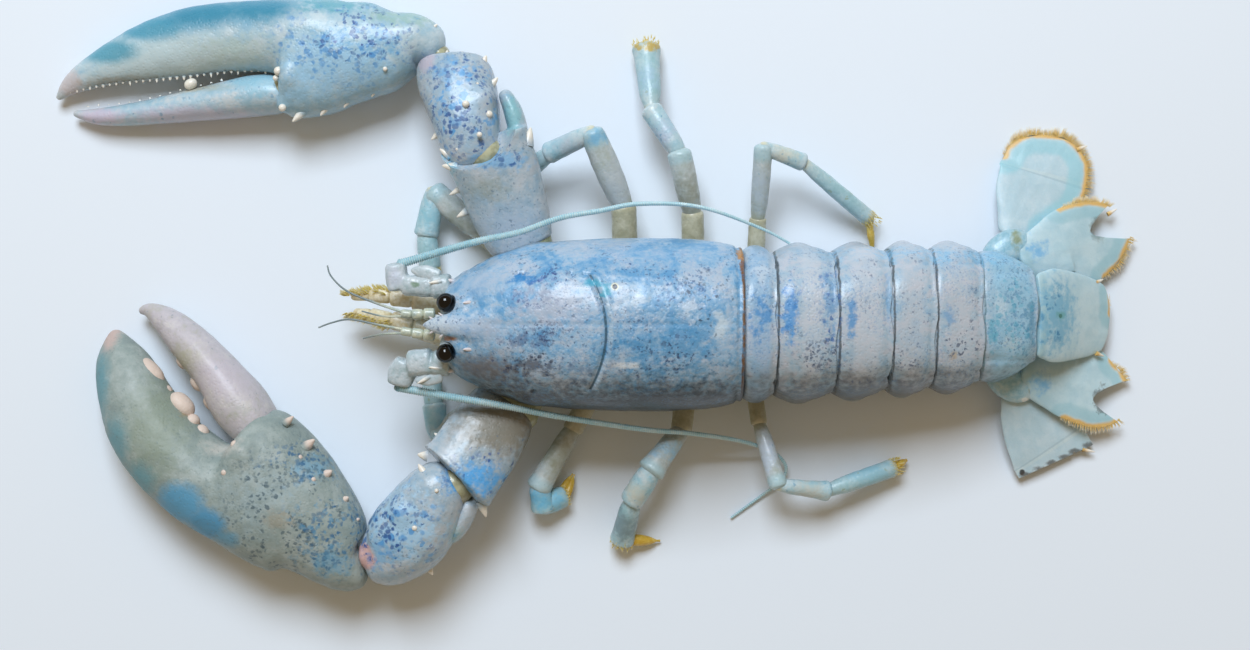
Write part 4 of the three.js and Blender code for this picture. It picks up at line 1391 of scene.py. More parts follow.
@dataclass(frozen=True)
class TailFan:
    """The telson, its two stems and four side blades, each with a rim of hair."""

    blades: tuple[Blade, ...] = (
        Blade("telson", (
            (131.0, 3, 26.0, 13.6, 2.4), (133.5, 3, 24.6, 13.9, 2.7), (138, 2.9, 21.6, 15.2, 2.4),
            (147, 2.6, 13.8, 13.9, 1.9), (154.5, 2.2, 8.2, 11.9, 1.3), (158.9, 2, 6.3, 9.4, 0.8),
        ), fringe=((0.42, 0.5),), fringe_length=1.2),
        Blade("uropod_outer_right", (
            (124.6, 28.6, 7.6, 3.4, 1.6), (127.7, 32.5, 7.0, 7.0, 1.6), (130.6, 36.6, 6.2, 10.6, 1.4),
            (133.5, 41.5, 5.2, 13.2, 1.2), (136.6, 46.3, 4.2, 14.9, 1.0), (138.2, 51.6, 3.2, 14.6, 0.8),
            (138.7, 56.0, 2.4, 13.2, 0.6), (139.2, 60.2, 1.6, 9.8, 0.5), (139.4, 62.6, 1.2, 5.6, 0.4),
        ), fringe=((0.26, 0.9),), fringe_length=3.3, hinge_line=0.62),
        Blade("uropod_inner_right", (
            (128.6, 20.6, 11.6, 6.2, 1.8), (134.0, 22.6, 11.0, 8.0, 1.7), (139.9, 25.2, 9.6, 9.6, 1.4),
            (144.4, 27.4, 8.5, 11.0, 1.2), (149.2, 27.6, 7.3, 12.7, 1.0), (154.0, 27.2, 6.1, 13.1, 0.8),
            (158.4, 26.6, 5.0, 12.2, 0.6), (162.0, 25.6, 4.2, 9.6, 0.5), (164.8, 24.4, 3.7, 5.2, 0.4),
        ), fringe=((0.2, 0.7),), fringe_length=2.8, notches=(((166.4, 36.0, 4.0), (152.4, 30.4, 6.0), 8.2),)),
        Blade("uropod_outer_left", (
            (126.6, -21.6, 7.6, 4.0, 1.6), (128.6, -25.6, 7.0, 6.0, 1.6), (130.2, -29.0, 6.4, 7.8, 1.5),
            (133.9, -34.2, 5.2, 10.8, 1.2), (137.9, -38.8, 4.0, 13.0, 1.0), (141.2, -43.8, 2.9, 13.4, 0.8),
            (144.5, -48.8, 2.0, 13.0, 0.7), (146.6, -52.2, 1.4, 11.0, 0.6),
        ), torn=((130.7, -50.2, 2.4), (154.1, -39.7, 2.4)),
            notches=(((140.2, -51.6, 2.4), (138.6, -46.8, 2.4), 1.6),
                     ((150.6, -46.0, 2.4), (147.6, -41.8, 2.6), 1.8))),
        Blade("uropod_inner_left", (
            (129.0, -15.0, 11.6, 6.4, 1.8), (134.6, -16.8, 11.0, 8.0, 1.7), (141.0, -19.0, 9.6, 9.4, 1.4),
            (145.6, -20.6, 8.5, 10.6, 1.2), (150.3, -20.9, 7.3, 12.3, 1.0), (155.0, -21.0, 6.1, 13.0, 0.8),
            (159.2, -20.4, 5.0, 12.0, 0.6), (162.6, -19.4, 4.1, 8.6, 0.5), (165.0, -18.2, 3.7, 4.4, 0.4),
        ), fringe=((0.34, 0.82),), fringe_length=2.8,
            notches=(((167.2, -25.9, 4.6), (153.3, -24.3, 6.2), 8.4),)),
    )
    stems: tuple[tuple[str, Rows], ...] = (
        ("uropod_root_right", (
            (118.6, 20.0, 10, 3.6, 3.2), (122, 23.4, 10.4, 5.2, 3.6), (127, 25.6, 10.2, 5.8, 3.2),
            (132.4, 24.6, 10, 4.2, 2.2),
        )),
        ("uropod_root_left", (
            (120, -14.6, 10, 3.6, 3.2), (123, -17.6, 10.4, 5.2, 3.6), (128, -20.0, 10.2, 5.8, 3.2),
            (133.0, -19.4, 10, 4.2, 2.2),
        )),
    )
    spines: tuple[tuple[str, Place, Place, float], ...] = (
        ("telson", (153.6, 13.6, 9.0), (156.6, 14.8, 7.6), 0.8),
        ("telson", (154.0, -9.4, 8.6), (157.0, -10.4, 7.2), 0.8),
        ("uropod_inner_right", (158.6, 36.2, 4.6), (161.8, 38.0, 4.2), 0.8),
        ("uropod_inner_left", (157.0, -31.2, 4.9), (160.6, -32.6, 4.4), 0.8),
        ("uropod_outer_right", (148.8, 57.6, 2.2), (152.6, 59.0, 1.8), 0.8),
        ("uropod_outer_left", (150.6, -41.2, 2.6), (155.0, -42.0, 2.4), 0.8),
    )
    waves: Pairs = ((6, 0.2),)
    no_fringe: float = 99.0
    rib_leans: tuple[float, float] = (-0.16, 0.16)
    rib_rise: Row = (0.07, 1.6)
    hinge_cut: Row = (-0.16, 1.2)

    @staticmethod
    def beyond(start: Place, end: Place, size: float = 60.0) -> Object:
        """Model a block whose edge lies on the line from start to end and whose body lies to its right.

        Args:
            start: One point of the edge in millimetres.
            end: A later point.
            size: The block's side.

        Returns:
            The block.
        """
        ahead = (Vector(end) - Vector(start)).normalized()
        right = ahead.cross(UP)
        middle = (Vector(start) + Vector(end)) / 2 + right * size / 2
        rest_tools()
        bpy.ops.mesh.primitive_cube_add(size=size * MM, location=scaled(middle),
                                        rotation=(0, 0, math.atan2(ahead.y, ahead.x)))
        return settled()

    def plate(self, blade: Blade) -> Object:
        """Model one blade with its raised ribs, its hinge line, its torn notches and its small spines.

        Args:
            blade: The blade's stations and details.

        Returns:
            The blade.
        """
        node, stations, hinge = blade.node, blade.stations, blade.hinge_line
        leaf = refined(Limb(stations, sides=44, between=3, tip_dome=3.2, root_dome=1.0).build(node), 1)
        root, tip = Vector(stations[0][:3]), Vector(stations[-1][:3])
        reach = (tip - root).normalized()
        side = reach.cross(UP).normalized()
        length = (tip - root).length

        def across(place: Vector) -> float:
            """The distance from the blade's middle line."""
            return (place - root).dot(side)

        def out(place: Vector) -> float:
            """The share of the blade's length at a place."""
            return (place - root).dot(reach) / length

        for lean in self.rib_leans:
            swell(leaf, lambda place, rib=lean * length: abs(across(place) - rib * out(place)) < 0.5,
                  *self.rib_rise)
        if hinge:
            swell(leaf, lambda place: abs(out(place) - hinge - 0.004 * abs(across(place))) < 0.022,
                  *self.hinge_cut)
        roughened(leaf, self.waves)
        for notch in blade.notches:
            wedge = spine(*notch, 20)
            with shaping(wedge, whole=True):
                resize((1, 1, 3), scaled(notch[1]))
            cut_away(leaf, wedge)
        if blade.torn:
            cut_away(leaf, self.beyond(*blade.torn))
        fringe = [step.place for step in blade.fringed(1.0)]
        mark(leaf, Attribute.FRINGE,
             lambda place: min(((place - spot).length for spot in fringe), default=self.no_fringe))
        horns = [spine(*item[1:]) for item in self.spines if item[0] == node]
        return joined(node, [leaf, *horns])

    def build(self, finish: Shell, outer: Shell, stem_finish: Shell) -> list[Object]:
        """Model the whole fan.

        Args:
            finish: The look of the middle blade and the inner blades.
            outer: The look of the outer blades.
            stem_finish: The look of the stems.

        Returns:
            The pieces.
        """
        pieces = []
        for blade in self.blades:
            look = outer if "outer" in blade.node else finish
            leaf = self.plate(blade)
            pieces.append(placed(smoothed(leaf), look, "tail_fan", blade.node))
        for name, stations in self.stems:
            stem = refined(Limb(stations, sides=20, root_dome=1.5, tip_dome=1.5).build(name), 1)
            pieces.append(placed(smoothed(stem), stem_finish, "tail_fan", name))
        return pieces


# Claws and their arms


@dataclass(frozen=True)
class ToothRow:
    """Small pointed teeth in a line along a biting edge."""

    line: tuple[Place, ...]
    bite: Place
    count: int = 18
    height: float = 1.1
    radius: float = 0.62

    def build(self, seed: int) -> list[Object]:
        """Model the teeth, each a little different.

        Args:
            seed: Start of the random sizes.

        Returns:
            The teeth.
        """
        dice = random.Random(seed)
        rows = smooth_rows(self.line, 8)
        lengths = running_lengths([Vector(row) for row in rows])
        teeth = []
        for index in range(self.count):
            foot = Vector(between_rows(rows, lengths, lengths[-1] * (index + 0.5) / self.count))
            tall = self.height * dice.uniform(0.6, 1.15) * (1.25 if index % 4 == 1 else 0.85)
            lean = Vector(self.bite) + Vector((dice.uniform(-0.15, 0.15), 0, dice.uniform(-0.1, 0.1)))
            wide = self.radius * dice.uniform(0.8, 1.15)
            teeth.append(spine(tuple(foot), tuple(foot + lean.normalized() * tall), wide, 8))
        return teeth


@dataclass(frozen=True)
class Claw:
    """One claw: palm and fixed finger in one shell, and the moving finger."""

    side: Side
    palm: Rows
    fixed_finger: Rows
    finger: Rows
    spines: Spikes = ()
    knobs: Balls = ()
    fixed_teeth: tuple[ToothRow, ...] = ()
    moving_teeth: tuple[ToothRow, ...] = ()
    fixed_molars: Spikes = ()
    moving_molars: Spikes = ()
    bosses: Spikes = ()
    palm_waves: Pairs = ((9, 0.6), (2.2, 0.07))
    finger_waves: Pairs = ((6, 0.4),)

    @staticmethod
    def molar(start: Place, end: Place, half: float) -> Object:
        """Model a blunt oval tooth that lies along the biting edge.

        Args:
            start: One end of the oval in millimetres.
            end: Its other end.
            half: Half its width.

        Returns:
            The tooth.
        """
        reach = (Vector(end) - Vector(start)).length
        rows = ((*start, half, half * 1.2), (*end, half * 0.92, half * 1.1))
        dome = reach * 0.48
        tooth = refined(Limb(rows, sides=18, between=4, root_dome=dome, tip_dome=dome).build("molar"), 1)
        mark(tooth, Attribute.SPINE, lambda _: 1.0)
        return tooth

    def build(self, palm_finish: Shell, finger_finish: Shell) -> list[Object]:
        """Model the claw's two pieces.

        Args:
            palm_finish: The look of palm and fixed finger.
            finger_finish: The look of the moving finger.

        Returns:
            The two pieces.
        """
        skins = [
            Limb(self.palm, sides=32, between=4, root_dome=3, tip_dome=4, squareness=0.92).build("palm"),
            Limb(self.fixed_finger, sides=32, between=4, root_dome=4, tip_dome=0.8).build("fixed_finger"),
        ]
        hand = fused("claw_palm", skins, 0.62, 22)
        for place, offset, reach in self.bosses:
            pull(hand, place, offset, reach)
        roughened(hand, self.palm_waves)
        extras = [spine(*item) for item in self.spines]
        extras += [knob(place, (radius,) * 3) for place, radius in self.knobs]
        extras += [self.molar(*item) for item in self.fixed_molars]
        for index, row in enumerate(self.fixed_teeth):
            extras += row.build(SEED + index)
        hand = joined(f"claw_palm_{self.side.word}", [hand, *extras])
        thumb = Limb(self.finger, sides=28, between=5, root_dome=3.5, tip_dome=0.8).build("finger")
        thumb = roughened(refined(thumb, 1), self.finger_waves)
        extras = [self.molar(*item) for item in self.moving_molars]
        for index, row in enumerate(self.moving_teeth):
            extras += row.build(SEED + 10 + index)
        thumb = joined(f"claw_finger_{self.side.word}", [thumb, *extras])
        return [
            placed(smoothed(hand), palm_finish, "claw_shell", f"claw_palm_{self.side.word}"),
            placed(smoothed(thumb), finger_finish, "claw_finger", f"claw_finger_{self.side.word}"),
        ]


@dataclass(frozen=True)
class ArmPiece:
    """One shell of an arm: its stations, its spines, knobs and bosses, and its lobes."""

    name: str
    stations: Rows
    domes: tuple[float, float] = (3.0, 3.0)
    spines: Spikes = ()
    knobs: Balls = ()
    bosses: Spikes = ()
    lobes: tuple[Rows, ...] = ()
    hollow: tuple[Place, Place] | None = None
    spine_share: float = 0.72
    waves: Pairs = ((6, 0.5), (1.8, 0.1))

    def build(self, finish: Shell) -> Object:
        """Model the shell with its rims, bosses and spines.

        Args:
            finish: The shell's look.

        Returns:
            The piece.
        """
        trunk = Limb(self.stations, sides=32, between=5, root_dome=self.domes[0], tip_dome=self.domes[1],
                     squareness=0.84).build(self.name)
        lobes = [Limb(rows, sides=20, root_dome=1.5, tip_dome=1.5).build("lobe") for rows in self.lobes]
        shell = fused(self.name, [trunk, *lobes], 0.5, 3)
        if self.hollow:
            cut_away(shell, knob(self.hollow[0], self.hollow[1], 32))
        for place, offset, reach in self.bosses:
            pull(shell, place, offset, reach)
        roughened(shell, self.waves)
        extras = [spine(foot, tuple(Vector(foot).lerp(Vector(tip), self.spine_share)), radius)
                  for foot, tip, radius in self.spines]
        extras += [knob(place, (radius * self.spine_share,) * 3) for place, radius in self.knobs]
        shell = joined(self.name, [shell, *extras])
        return placed(smoothed(shell), finish, "arm_shell", self.name)


# Walking legs


@dataclass(frozen=True)
class Leg:
    """One walking leg: where its joints are and how thick it is at each.

    The thickness is the whole width at hip, knee, ankle, toe and tip. A pincer leg ends in two fingers.
    """

    name: str
    base: Place
    hip: Place
    knee: Place
    ankle: Place
    toe: Place
    tip: Place
    thickness: tuple[float, float, float, float, float]
    pincer: bool = False
    waves: Pairs = ((3, 0.28),)

    def shaft(self, name: str, start: Place, end: Place, widths: tuple[float, float, float],
              finish: Finish, arch: float = 0.0, flare: float = 1.1) -> Object:
        """Model one length of the leg, thin at its root and full at its far joint.

        Args:
            name: The object's name.
            start: Its root in millimetres.
            end: Its far end.
            widths: Whole width at root, middle and far end.
            finish: Its look.
            arch: How far its middle rises above the straight line.
            flare: How much wider than its far end it swells just before it.

        Returns:
            The length, dressed.
        """
        root, far = Vector(start), Vector(end)
        root_width, middle_width, far_width = widths
        ahead = (far - root).normalized()
        root -= ahead * root_width * 0.34
        far += ahead * far_width * 0.24
        shares = ((0.0, root_width * 0.66), (0.12, root_width * 0.84), (0.3, middle_width * 0.94),
                  (0.55, middle_width), (0.8, (far_width * flare + middle_width) / 2),
                  (0.92, far_width * flare),
                  (1.0, far_width))
        rows = []
        for share, width in shares:
            place = root.lerp(far, share) + Vector((0, 0, arch * math.sin(math.pi * share)))
            half = width / 2
            rows.append((place.x, place.y, max(place.z, half * 0.92), half, half * 0.92))
        piece = Limb(tuple(rows), sides=18, between=3, root_dome=root_width * 0.2, tip_dome=far_width * 0.26)
        length = roughened(refined(piece.build(name), 1), self.waves)
        length.data.materials.append(finish.make())
        return length

    def fingers(self, finishes: "LegFinishes") -> list[Object]:
        """Model the two fingers of a pincer, or the single pointed toe.

        Args:
            finishes: The looks of a leg's lengths.

        Returns:
            The end pieces.
        """
        toe, tip = Vector(self.toe), Vector(self.tip)
        width = self.thickness[3]
        ahead = (tip - toe).normalized()
        side = ahead.cross(UP).normalized()
        if not self.pincer:
            return [self.shaft("toe", self.toe, self.tip,
                               (width * 0.84, width * 0.52, self.thickness[4] * 0.5),
                               finishes.tip, 0.6, 0.9)]
        made = []
        for sign in (1, -1):
            root = toe + side * width * 0.22 * sign - ahead * width * 0.2
            end = tip + side * self.thickness[4] * 0.16 * sign
            widths = (width * 0.62, width * 0.4, width * 0.12)
            made.append(self.shaft("pincer_finger", tuple(root), tuple(end), widths, finishes.tip, 0.3, 0.9))
        return made

    def build(self, finishes: "LegFinishes") -> Object:
        """Model the leg's segments and join them.

        Args:
            finishes: The looks of its lengths.

        Returns:
            The whole leg.
        """
        hip, knee, ankle, toe, _ = self.thickness
        pieces = [
            self.shaft("ischium", self.base, self.hip, (hip * 0.96, hip * 0.94, hip * 0.96),
                       finishes.root, 0.0, 0.98),
            self.shaft("merus", self.hip, self.knee, (hip * 0.9, hip * 0.98, knee), finishes.upper, 0.8),
            self.shaft("carpus", self.knee, self.ankle, (knee * 0.84, knee * 0.94, ankle),
                       finishes.knee, 0.5),
            self.shaft("propodus", self.ankle, self.toe, (ankle * 0.86, (ankle + toe) / 2, toe),
                       finishes.lower, 0.4),
            *self.fingers(finishes),
        ]
        leg = joined(f"leg_{self.name}", pieces)
        return placed(smoothed(leg), finishes.upper, "leg_shell",
                      f"leg_{self.name}_upper", f"leg_{self.name}_lower")


@dataclass(frozen=True)
class LegFinishes:
    """The looks of a leg's lengths, from the body outwards."""

    root: Shell
    upper: Shell
    knee: Shell
    lower: Shell
    tip: Shell


# Feelers, mouth and hair


@dataclass(frozen=True)
class Whip:
    """A long feeler of many rings, thick at its root."""

    points: tuple[Place, ...]
    root_radius: float = 1.5
    tip_radius: float = 0.45
    ring_length: float = 0.72
    sides: int = 14
    ring_steps: Pairs = ((0.12, 0.86), (0.5, 0.9), (0.26, 1.06), (0.12, 1.0))

    def build(self, name: str) -> Object:
        """Extrude the whip ring by ring, each ring with a raised rim.

        Args:
            name: The object's name.

        Returns:
            The whip, lying on its route.
        """
        rows = smooth_rows(self.points, 10)
        route = [Vector((row[0], row[1], max(row[2], self.tip_radius + 0.02))) for row in rows]
        whole = running_lengths(route)[-1]
        rings = round(whole / self.ring_length)
        whip = new_ring(name, self.sides, ORIGIN)
        radius = self.root_radius
        place = 0.0
        with shaping(whip, whole=True):
            resize((1, radius, radius), ORIGIN)
            for index in range(rings):
                full = self.root_radius + (self.tip_radius - self.root_radius) * ((index + 1) / rings) ** 0.8
                for step, share in self.ring_steps:
                    length = step * whole / rings
                    place += length
                    extrude((length * MM, 0, 0))
                    ratio = full * share / radius
                    radius = full * share
                    resize((1, ratio, ratio), (place * MM, 0, 0))
        mark(whip, Attribute.ALONG, lambda spot: (spot.x * rings / whole) % 1.0)
        bend(whip, route)
        return whip


@dataclass(frozen=True)
class Antenna:
    """One long feeler on its three-part stem, with the pointed scale beside it."""

    side: Side
    stem: tuple[Rows, ...]
    scale: Rows
    whip: Whip
    spines: Spikes = ()
    waves: Pairs = ((3, 0.4),)

    def build(self, stem_finish: Shell, whip_finish: Shell) -> list[Object]:
        """Model the stem, the scale and the whip.

        Args:
            stem_finish: The look of stem and scale.
            whip_finish: The look of the whip.

        Returns:
            The pieces.
        """
        word = self.side.word
        parts = []
        for stations in self.stem:
            parts.append(Limb(stations, sides=20, root_dome=0.9, tip_dome=0.9, squareness=0.7).build("stem"))
        trunk = roughened(fused("stem", parts, 0.42, 3), self.waves)
        plate = refined(Limb(self.scale, sides=18, root_dome=1, tip_dome=0.6).build("scale"), 1)
        stem = joined(f"antenna_base_{word}", [trunk, plate, *(spine(*item) for item in self.spines)])
        whip = self.whip.build(f"antenna_{word}")
        return [
            placed(smoothed(stem), stem_finish, "arm_shell", f"antenna_base_{word}"),
            placed(smoothed(whip), whip_finish, "feeler", f"antenna_near_{word}", f"antenna_far_{word}"),
        ]


@dataclass(frozen=True)
class Antennule:
    """A short forked feeler on a jointed stalk."""

    side: Side
    stalk: tuple[Rows, ...]
    whips: tuple[Whip, ...]

    def build(self, finish: Shell) -> Object:
        """Model the stalk's joints and its two thin whips.

        Args:
            finish: The look of the whole.

        Returns:
            The antennule.
        """
        parts = [refined(Limb(stations, sides=16, root_dome=0.8, tip_dome=0.8).build("stalk"), 1)
                 for stations in self.stalk]
        parts += [whip.build("fork") for whip in self.whips]
        node = f"antennule_{self.side.word}"
        return placed(smoothed(joined(node, parts)), finish, "feeler", node)


@dataclass(frozen=True)
class Root:
    """Where one tuft grows: its foot, its lie, its length and its place on the unwrapped skin."""

    place: Vector
    lie: Vector
    length: float
    on_skin: tuple[float, float]


@dataclass(frozen=True)
class Tuft:
    """A small fan of fine tapering hairs, modelled once and set out many times."""

    hairs: int = 4
    thickness: float = 0.075
    spread: float = 0.25
    curl: float = 0.16
    patch: float = 0.003
    taper: Pairs = ((0.4, 0.8), (0.35, 0.6), (0.25, 0.35))

    def pattern(self) -> Object:
        """Model one tuft that stands along X with a length of one millimetre.

        Returns:
            The tuft, with its share of length written on it.
        """
        dice = random.Random(SEED + self.hairs)
        strands = []
        for _ in range(self.hairs):
            rest_tools()
            bpy.ops.mesh.primitive_circle_add(vertices=4, radius=self.thickness * MM, fill_type="NGON",
                                              rotation=(0, math.pi / 2, 0))
            strand = settled()
            sway = dice.uniform(-self.spread, self.spread)
            lift = dice.uniform(-self.spread, self.spread) * 0.6
            reach = dice.uniform(0.7, 1.0)
            foot = (0, dice.uniform(-0.15, 0.15) * MM, dice.uniform(-0.1, 0.1) * MM)
            with shaping(strand, whole=True):
                bpy.ops.transform.translate(value=foot)
                for share, narrow in self.taper:
                    step = (share * reach * MM, sway * share * MM, (lift - self.curl * share) * MM * 0.8)
                    extrude(step)
                    resize((1, narrow, narrow), self.centre_of_selected(strand))
            strands.append(strand)
        tuft = joined("tuft", strands)
        mark(tuft, Attribute.ALONG, lambda place: place.x)
        return tuft

    @staticmethod
    def centre_of_selected(piece: Object) -> Vector:
        """The middle of the vertices that are selected in edit mode."""
        chosen = [vertex.co.copy() for vertex in bmesh.from_edit_mesh(piece.data).verts if vertex.select]
        return sum(chosen, Vector()) / len(chosen)

    def grow(self, name: str, roots: Sequence[Root]) -> Object:
        """Set copies of the tuft on all roots, in one mesh with a bake map.

        Args:
            name: The object's name.
            roots: Where the tufts grow.

        Returns:
            The hair.
        """
        tuft = self.pattern()
        pattern = [vertex.co / MM for vertex in tuft.data.vertices]
        faces = [tuple(face.vertices) for face in tuft.data.polygons]
        places, polygons, along, patches = [], [], [], []
        for root in roots:
            turn = root.lie.to_track_quat("X", "Z")
            first = len(places)
            for spot in pattern:
                shape = Vector((spot.x * root.length, spot.y * math.sqrt(root.length), spot.z * root.length))
                places.append(scaled(root.place + turn @ shape))
                along.append(spot.x)
                patches.append((root.on_skin[0] + self.patch * (spot.x - 0.5),
                                root.on_skin[1] + self.patch * max(-0.5, min(0.5, spot.y))))
            polygons.extend(tuple(first + index for index in face) for face in faces)
        bpy.data.objects.remove(tuft)
        mesh = bpy.data.meshes.new(name)
        mesh.from_pydata(places, [], polygons)
        mesh.attributes.new(Attribute.ALONG.value, "FLOAT", "POINT").data.foreach_set("value", along)
        layer = mesh.uv_layers.new(name="OFBake")
        for loop in mesh.loops:
            layer.data[loop.index].uv = patches[loop.vertex_index]
        hair = bpy.data.objects.new(name, mesh)
        bpy.context.scene.collection.objects.link(hair)
        return hair


@dataclass(frozen=True)
class RimHair:
    """The fringe of hair round the free edge of a tail blade."""

    spacing: float = 0.5
    bands: int = 5
    sweep: float = 0.3
    growth: float = 0.12
    sunk: float = 0.5

    def roots(self, blade: Blade, seed: int) -> list[Root]:
        """Walk round the blade's rim from root to root and set tufts along its fringes.

        Args:
            blade: The blade, with its fringes as shares of the walk and the length of their hairs.
            seed: Start of the random lies, and the rim's own band on the bake map.

        Returns:
            The roots.
        """
        dice = random.Random(seed)
        root, tip = Vector(blade.stations[0][:3]), Vector(blade.stations[-1][:3])
        backwards = (tip - root).normalized()
        found = []
        for step in blade.fringed(self.spacing):
            lie = step.out + backwards * self.sweep
            lie += Vector((dice.uniform(-0.3, 0.3), dice.uniform(-0.3, 0.3), dice.uniform(-0.1, 0.12)))
            reach = blade.fringe_length * dice.uniform(0.7, 1.15) * min(1.0, 0.4 + self.growth * step.to_end)
            on_rim = (0.02 + 0.96 * step.share, (seed + 0.5) / self.bands)
            found.append(Root(step.place - step.out * self.sunk, lie.normalized(), reach, on_rim))
        return found


@dataclass(frozen=True)
class LegHair:
    """Short golden tufts round the ends of the walking legs."""

    length: float = 1.5
    around: int = 12
    rings: int = 6
    reach_back: float = 0.16

    def roots(self, legs: Sequence[Leg]) -> list[Root]:
        """Set tufts in rings round the far end of each leg's last long length.

        Args:
            legs: The walking legs.

        Returns:
            The roots.
        """
        dice = random.Random(SEED + 40)
        found = []
        for number, leg in enumerate(legs):
            ankle, toe = Vector(leg.ankle), Vector(leg.toe)
            ahead = (toe - ankle).normalized()
            side = ahead.cross(UP).normalized()
            up = side.cross(ahead)
            for ring in range(self.rings):
                share = 1 + self.reach_back * (0.5 - ring / (self.rings - 1))
                for step in range(self.around):
                    angle = 2 * math.pi * (step + dice.random() * 0.8) / self.around
                    out = side * math.cos(angle) + up * math.sin(angle)
                    foot = ankle.lerp(toe, share) + out * leg.thickness[3] * 0.47
                    if foot.z < 0.6:
                        continue
                    lie = (out * 0.4 + ahead + Vector((0, 0, 0.15))).normalized()
                    band = (number + 0.1 + 0.8 * ring / self.rings) / len(legs)
                    on_skin = (band, 0.05 + 0.9 * step / self.around)
                    found.append(Root(foot, lie, self.length * dice.uniform(0.6, 1.1), on_skin))
        return found


# The animal's own sizes, looks and markings, with the painted shade and painted highlights in some looks


NAVY = Speckle("#2a4670", scale=820, size=0.46, share=0.5, drift=60, strength=0.65)
FINE = Speckle("#3f80b8", scale=1100, size=0.55, share=1.0, drift=60, strength=0.35)

CARAPACE_LOOK = Shell(
    "Carapace shell", pale="#aebfd0", middle="#8cb3d0", deep="#4c93c4", mottle=90, depth=0.85,
    specks=(
        FINE, NAVY,
        Speckle("#2f3f66", 900, 0.62, 1.5, 130, 0.85, (-27, -2.6, 52), (13, 5, 12)),
        Speckle("#2b3850", 820, 0.62, 1.5, 130, 0.85, (-27, -12, 48), (12, 5.5, 12)),
        Speckle("#3d558c", 900, 0.62, 1.4, 130, 0.8, (-29, 8.4, 50), (13, 5, 12)),
        Speckle("#2c4a86", 820, 0.62, 1.8, 130, 0.9, (-22, 14.6, 48), (12, 4, 12)),
        Speckle("#24568c", 820, 0.62, 1.3, 110, 0.8, (14, 14, 46), (24, 10, 20)),
        Speckle("#2c4468", 820, 0.62, 1.3, 110, 0.8, (14, -10, 46), (24, 9, 20)),
        Speckle("#1f3650", 620, 0.5, 0.9, 110, 0.8, (24, 6, 50), (14, 16, 20)),
    ),
    along=(Stripe("#2c5468", 0.0, 0.6, 0.9), Stripe("#b7c8d2", 1.5, 1.0, 0.4)),
    across_x=(Stripe("#6b4a24", 36.7, 0.75, 0.95), Stripe("#b3c4cc", -59, 5, 0.5)),
    patches=(
        Patch("#b0bbcd", (-22, 5, 52), (18, 9, 20), 0.75, 0.8, 0.8),
        Patch("#abb8cb", (-44, -1, 48), (14, 6, 20), 0.6, 0.9, 0.5),
        Patch("#9db4cb", (-44, 12, 42), (14, 8, 14), 0.7, 0.9, 0.5),
        Patch("#4590c0", (17, -3, 54), (25, 15, 30), 0.75, 0.9, 1.3),
        Patch("#b6c9dc", (-50, -0.2, 47), (13, 3.6, 6), 0.85, 0.6, 0.3),
        Patch("#5a9ccc", (8, 20, 40), (34, 8, 16), 0.5, 0.9, 1.0),
        Patch("#4f93c9", (20, 8, 50), (10, 7, 16), 0.6, 0.9, 1.6),
        Patch("#2580bf", (-30.5, 14.2, 47), (6.6, 2.6, 6), 1.0, 0.6, 0.9),
        Patch("#4a62a8", (-22.6, 13.8, 48), (7, 2.0, 6), 0.55, 0.8, 1.2),
        Patch("#54648c", (-29.5, 8.8, 50), (9, 2.6, 8), 0.35, 0.8, 1.4),
        Patch("#3c5a84", (-30, -4.2, 53), (9, 3.0, 8), 0.6, 0.8, 1.7),
        Patch("#2f3c52", (-27.2, -12.5, 49), (9, 4.0, 8), 0.7, 0.9, 1.6),
        # Painted shade: brown-grey shade on the left front of the shield, behind the left eye.
        Patch("#68686b", (-42, -13.5, 43), (19, 8.4, 16), 0.9, 0.8, 0.4),
        Patch("#5c81a8", (-14, -14, 48), (10, 5.0, 10), 0.6, 0.9, 1.4),
        Patch("#2fa2bd", (-5.6, 9.6, 53), (3.2, 2.8, 6), 0.85, 0.7, 1.0),
        Patch("#3fa8c6", (-9.6, 12.8, 52), (4.6, 1.8, 6), 0.8, 0.7, 1.0),
        Patch("#e0dfc0", (-3.1, 11.6, 53), (1.5, 1.5, 6), 0.9, 0.4, 0.1),
        Patch("#1c1c1c", (-3.1, 11.6, 53), (0.9, 0.9, 6), 1.0, 0.2, 0.1),
        # Painted highlights: pale streaks on the top of the shield where the wet shell catches the light.
        Patch("#e6ecee", (1.4, -12.5, 52), (6, 1.6, 6), 0.7, 0.7, 1.0),
        Patch("#d3dfe8", (4, 7.6, 54), (5, 3.0, 6), 0.6, 0.8, 1.4),
        Patch("#dbe6ee", (20, 5.0, 54), (4.4, 5.4, 6), 0.6, 0.8, 1.4),
        Patch("#d3dfe4", (29.5, -1.0, 54), (3.6, 8.0, 6), 0.65, 0.8, 1.1),
        Patch("#4c3218", (37.6, -20.2, 36), (2.8, 2.4, 9), 0.95, 0.4, 0.3),
        Patch("#b07c2c", (37.0, 21.2, 37), (2.8, 3.0, 9), 0.95, 0.3, 0.5),
        Patch("#7a4f1e", (36.4, 17.0, 41), (1.2, 4.0, 9), 0.9, 0.4, 0.6),
        Patch("#c3d0d8", (-58, 0, 46), (8, 5, 6), 0.7, 0.8, 0.3),
        Patch("#a8743e", (-55.6, -4.4, 46), (5.0, 1.0, 4), 0.9, 0.5, 0.3),
        # Painted shade: the shaded left lower flank and front corner of the shield, over the shell's own
        # darker blue there.
        Patch("#14242f", (12, -30, 30), (90, 19, 60), 0.95, 0.62, 0.35),
        Patch("#2a2d32", (-38, -26, 34), (34, 14, 40), 0.8, 0.8, 0.35),
    ),
    # The underside tone here is painted shade: it darkens the shield's lower flanks towards the floor.
    spine_colour="#d6cfd0", underside="#4c585e", underside_level=(16.0, 32.0),
)
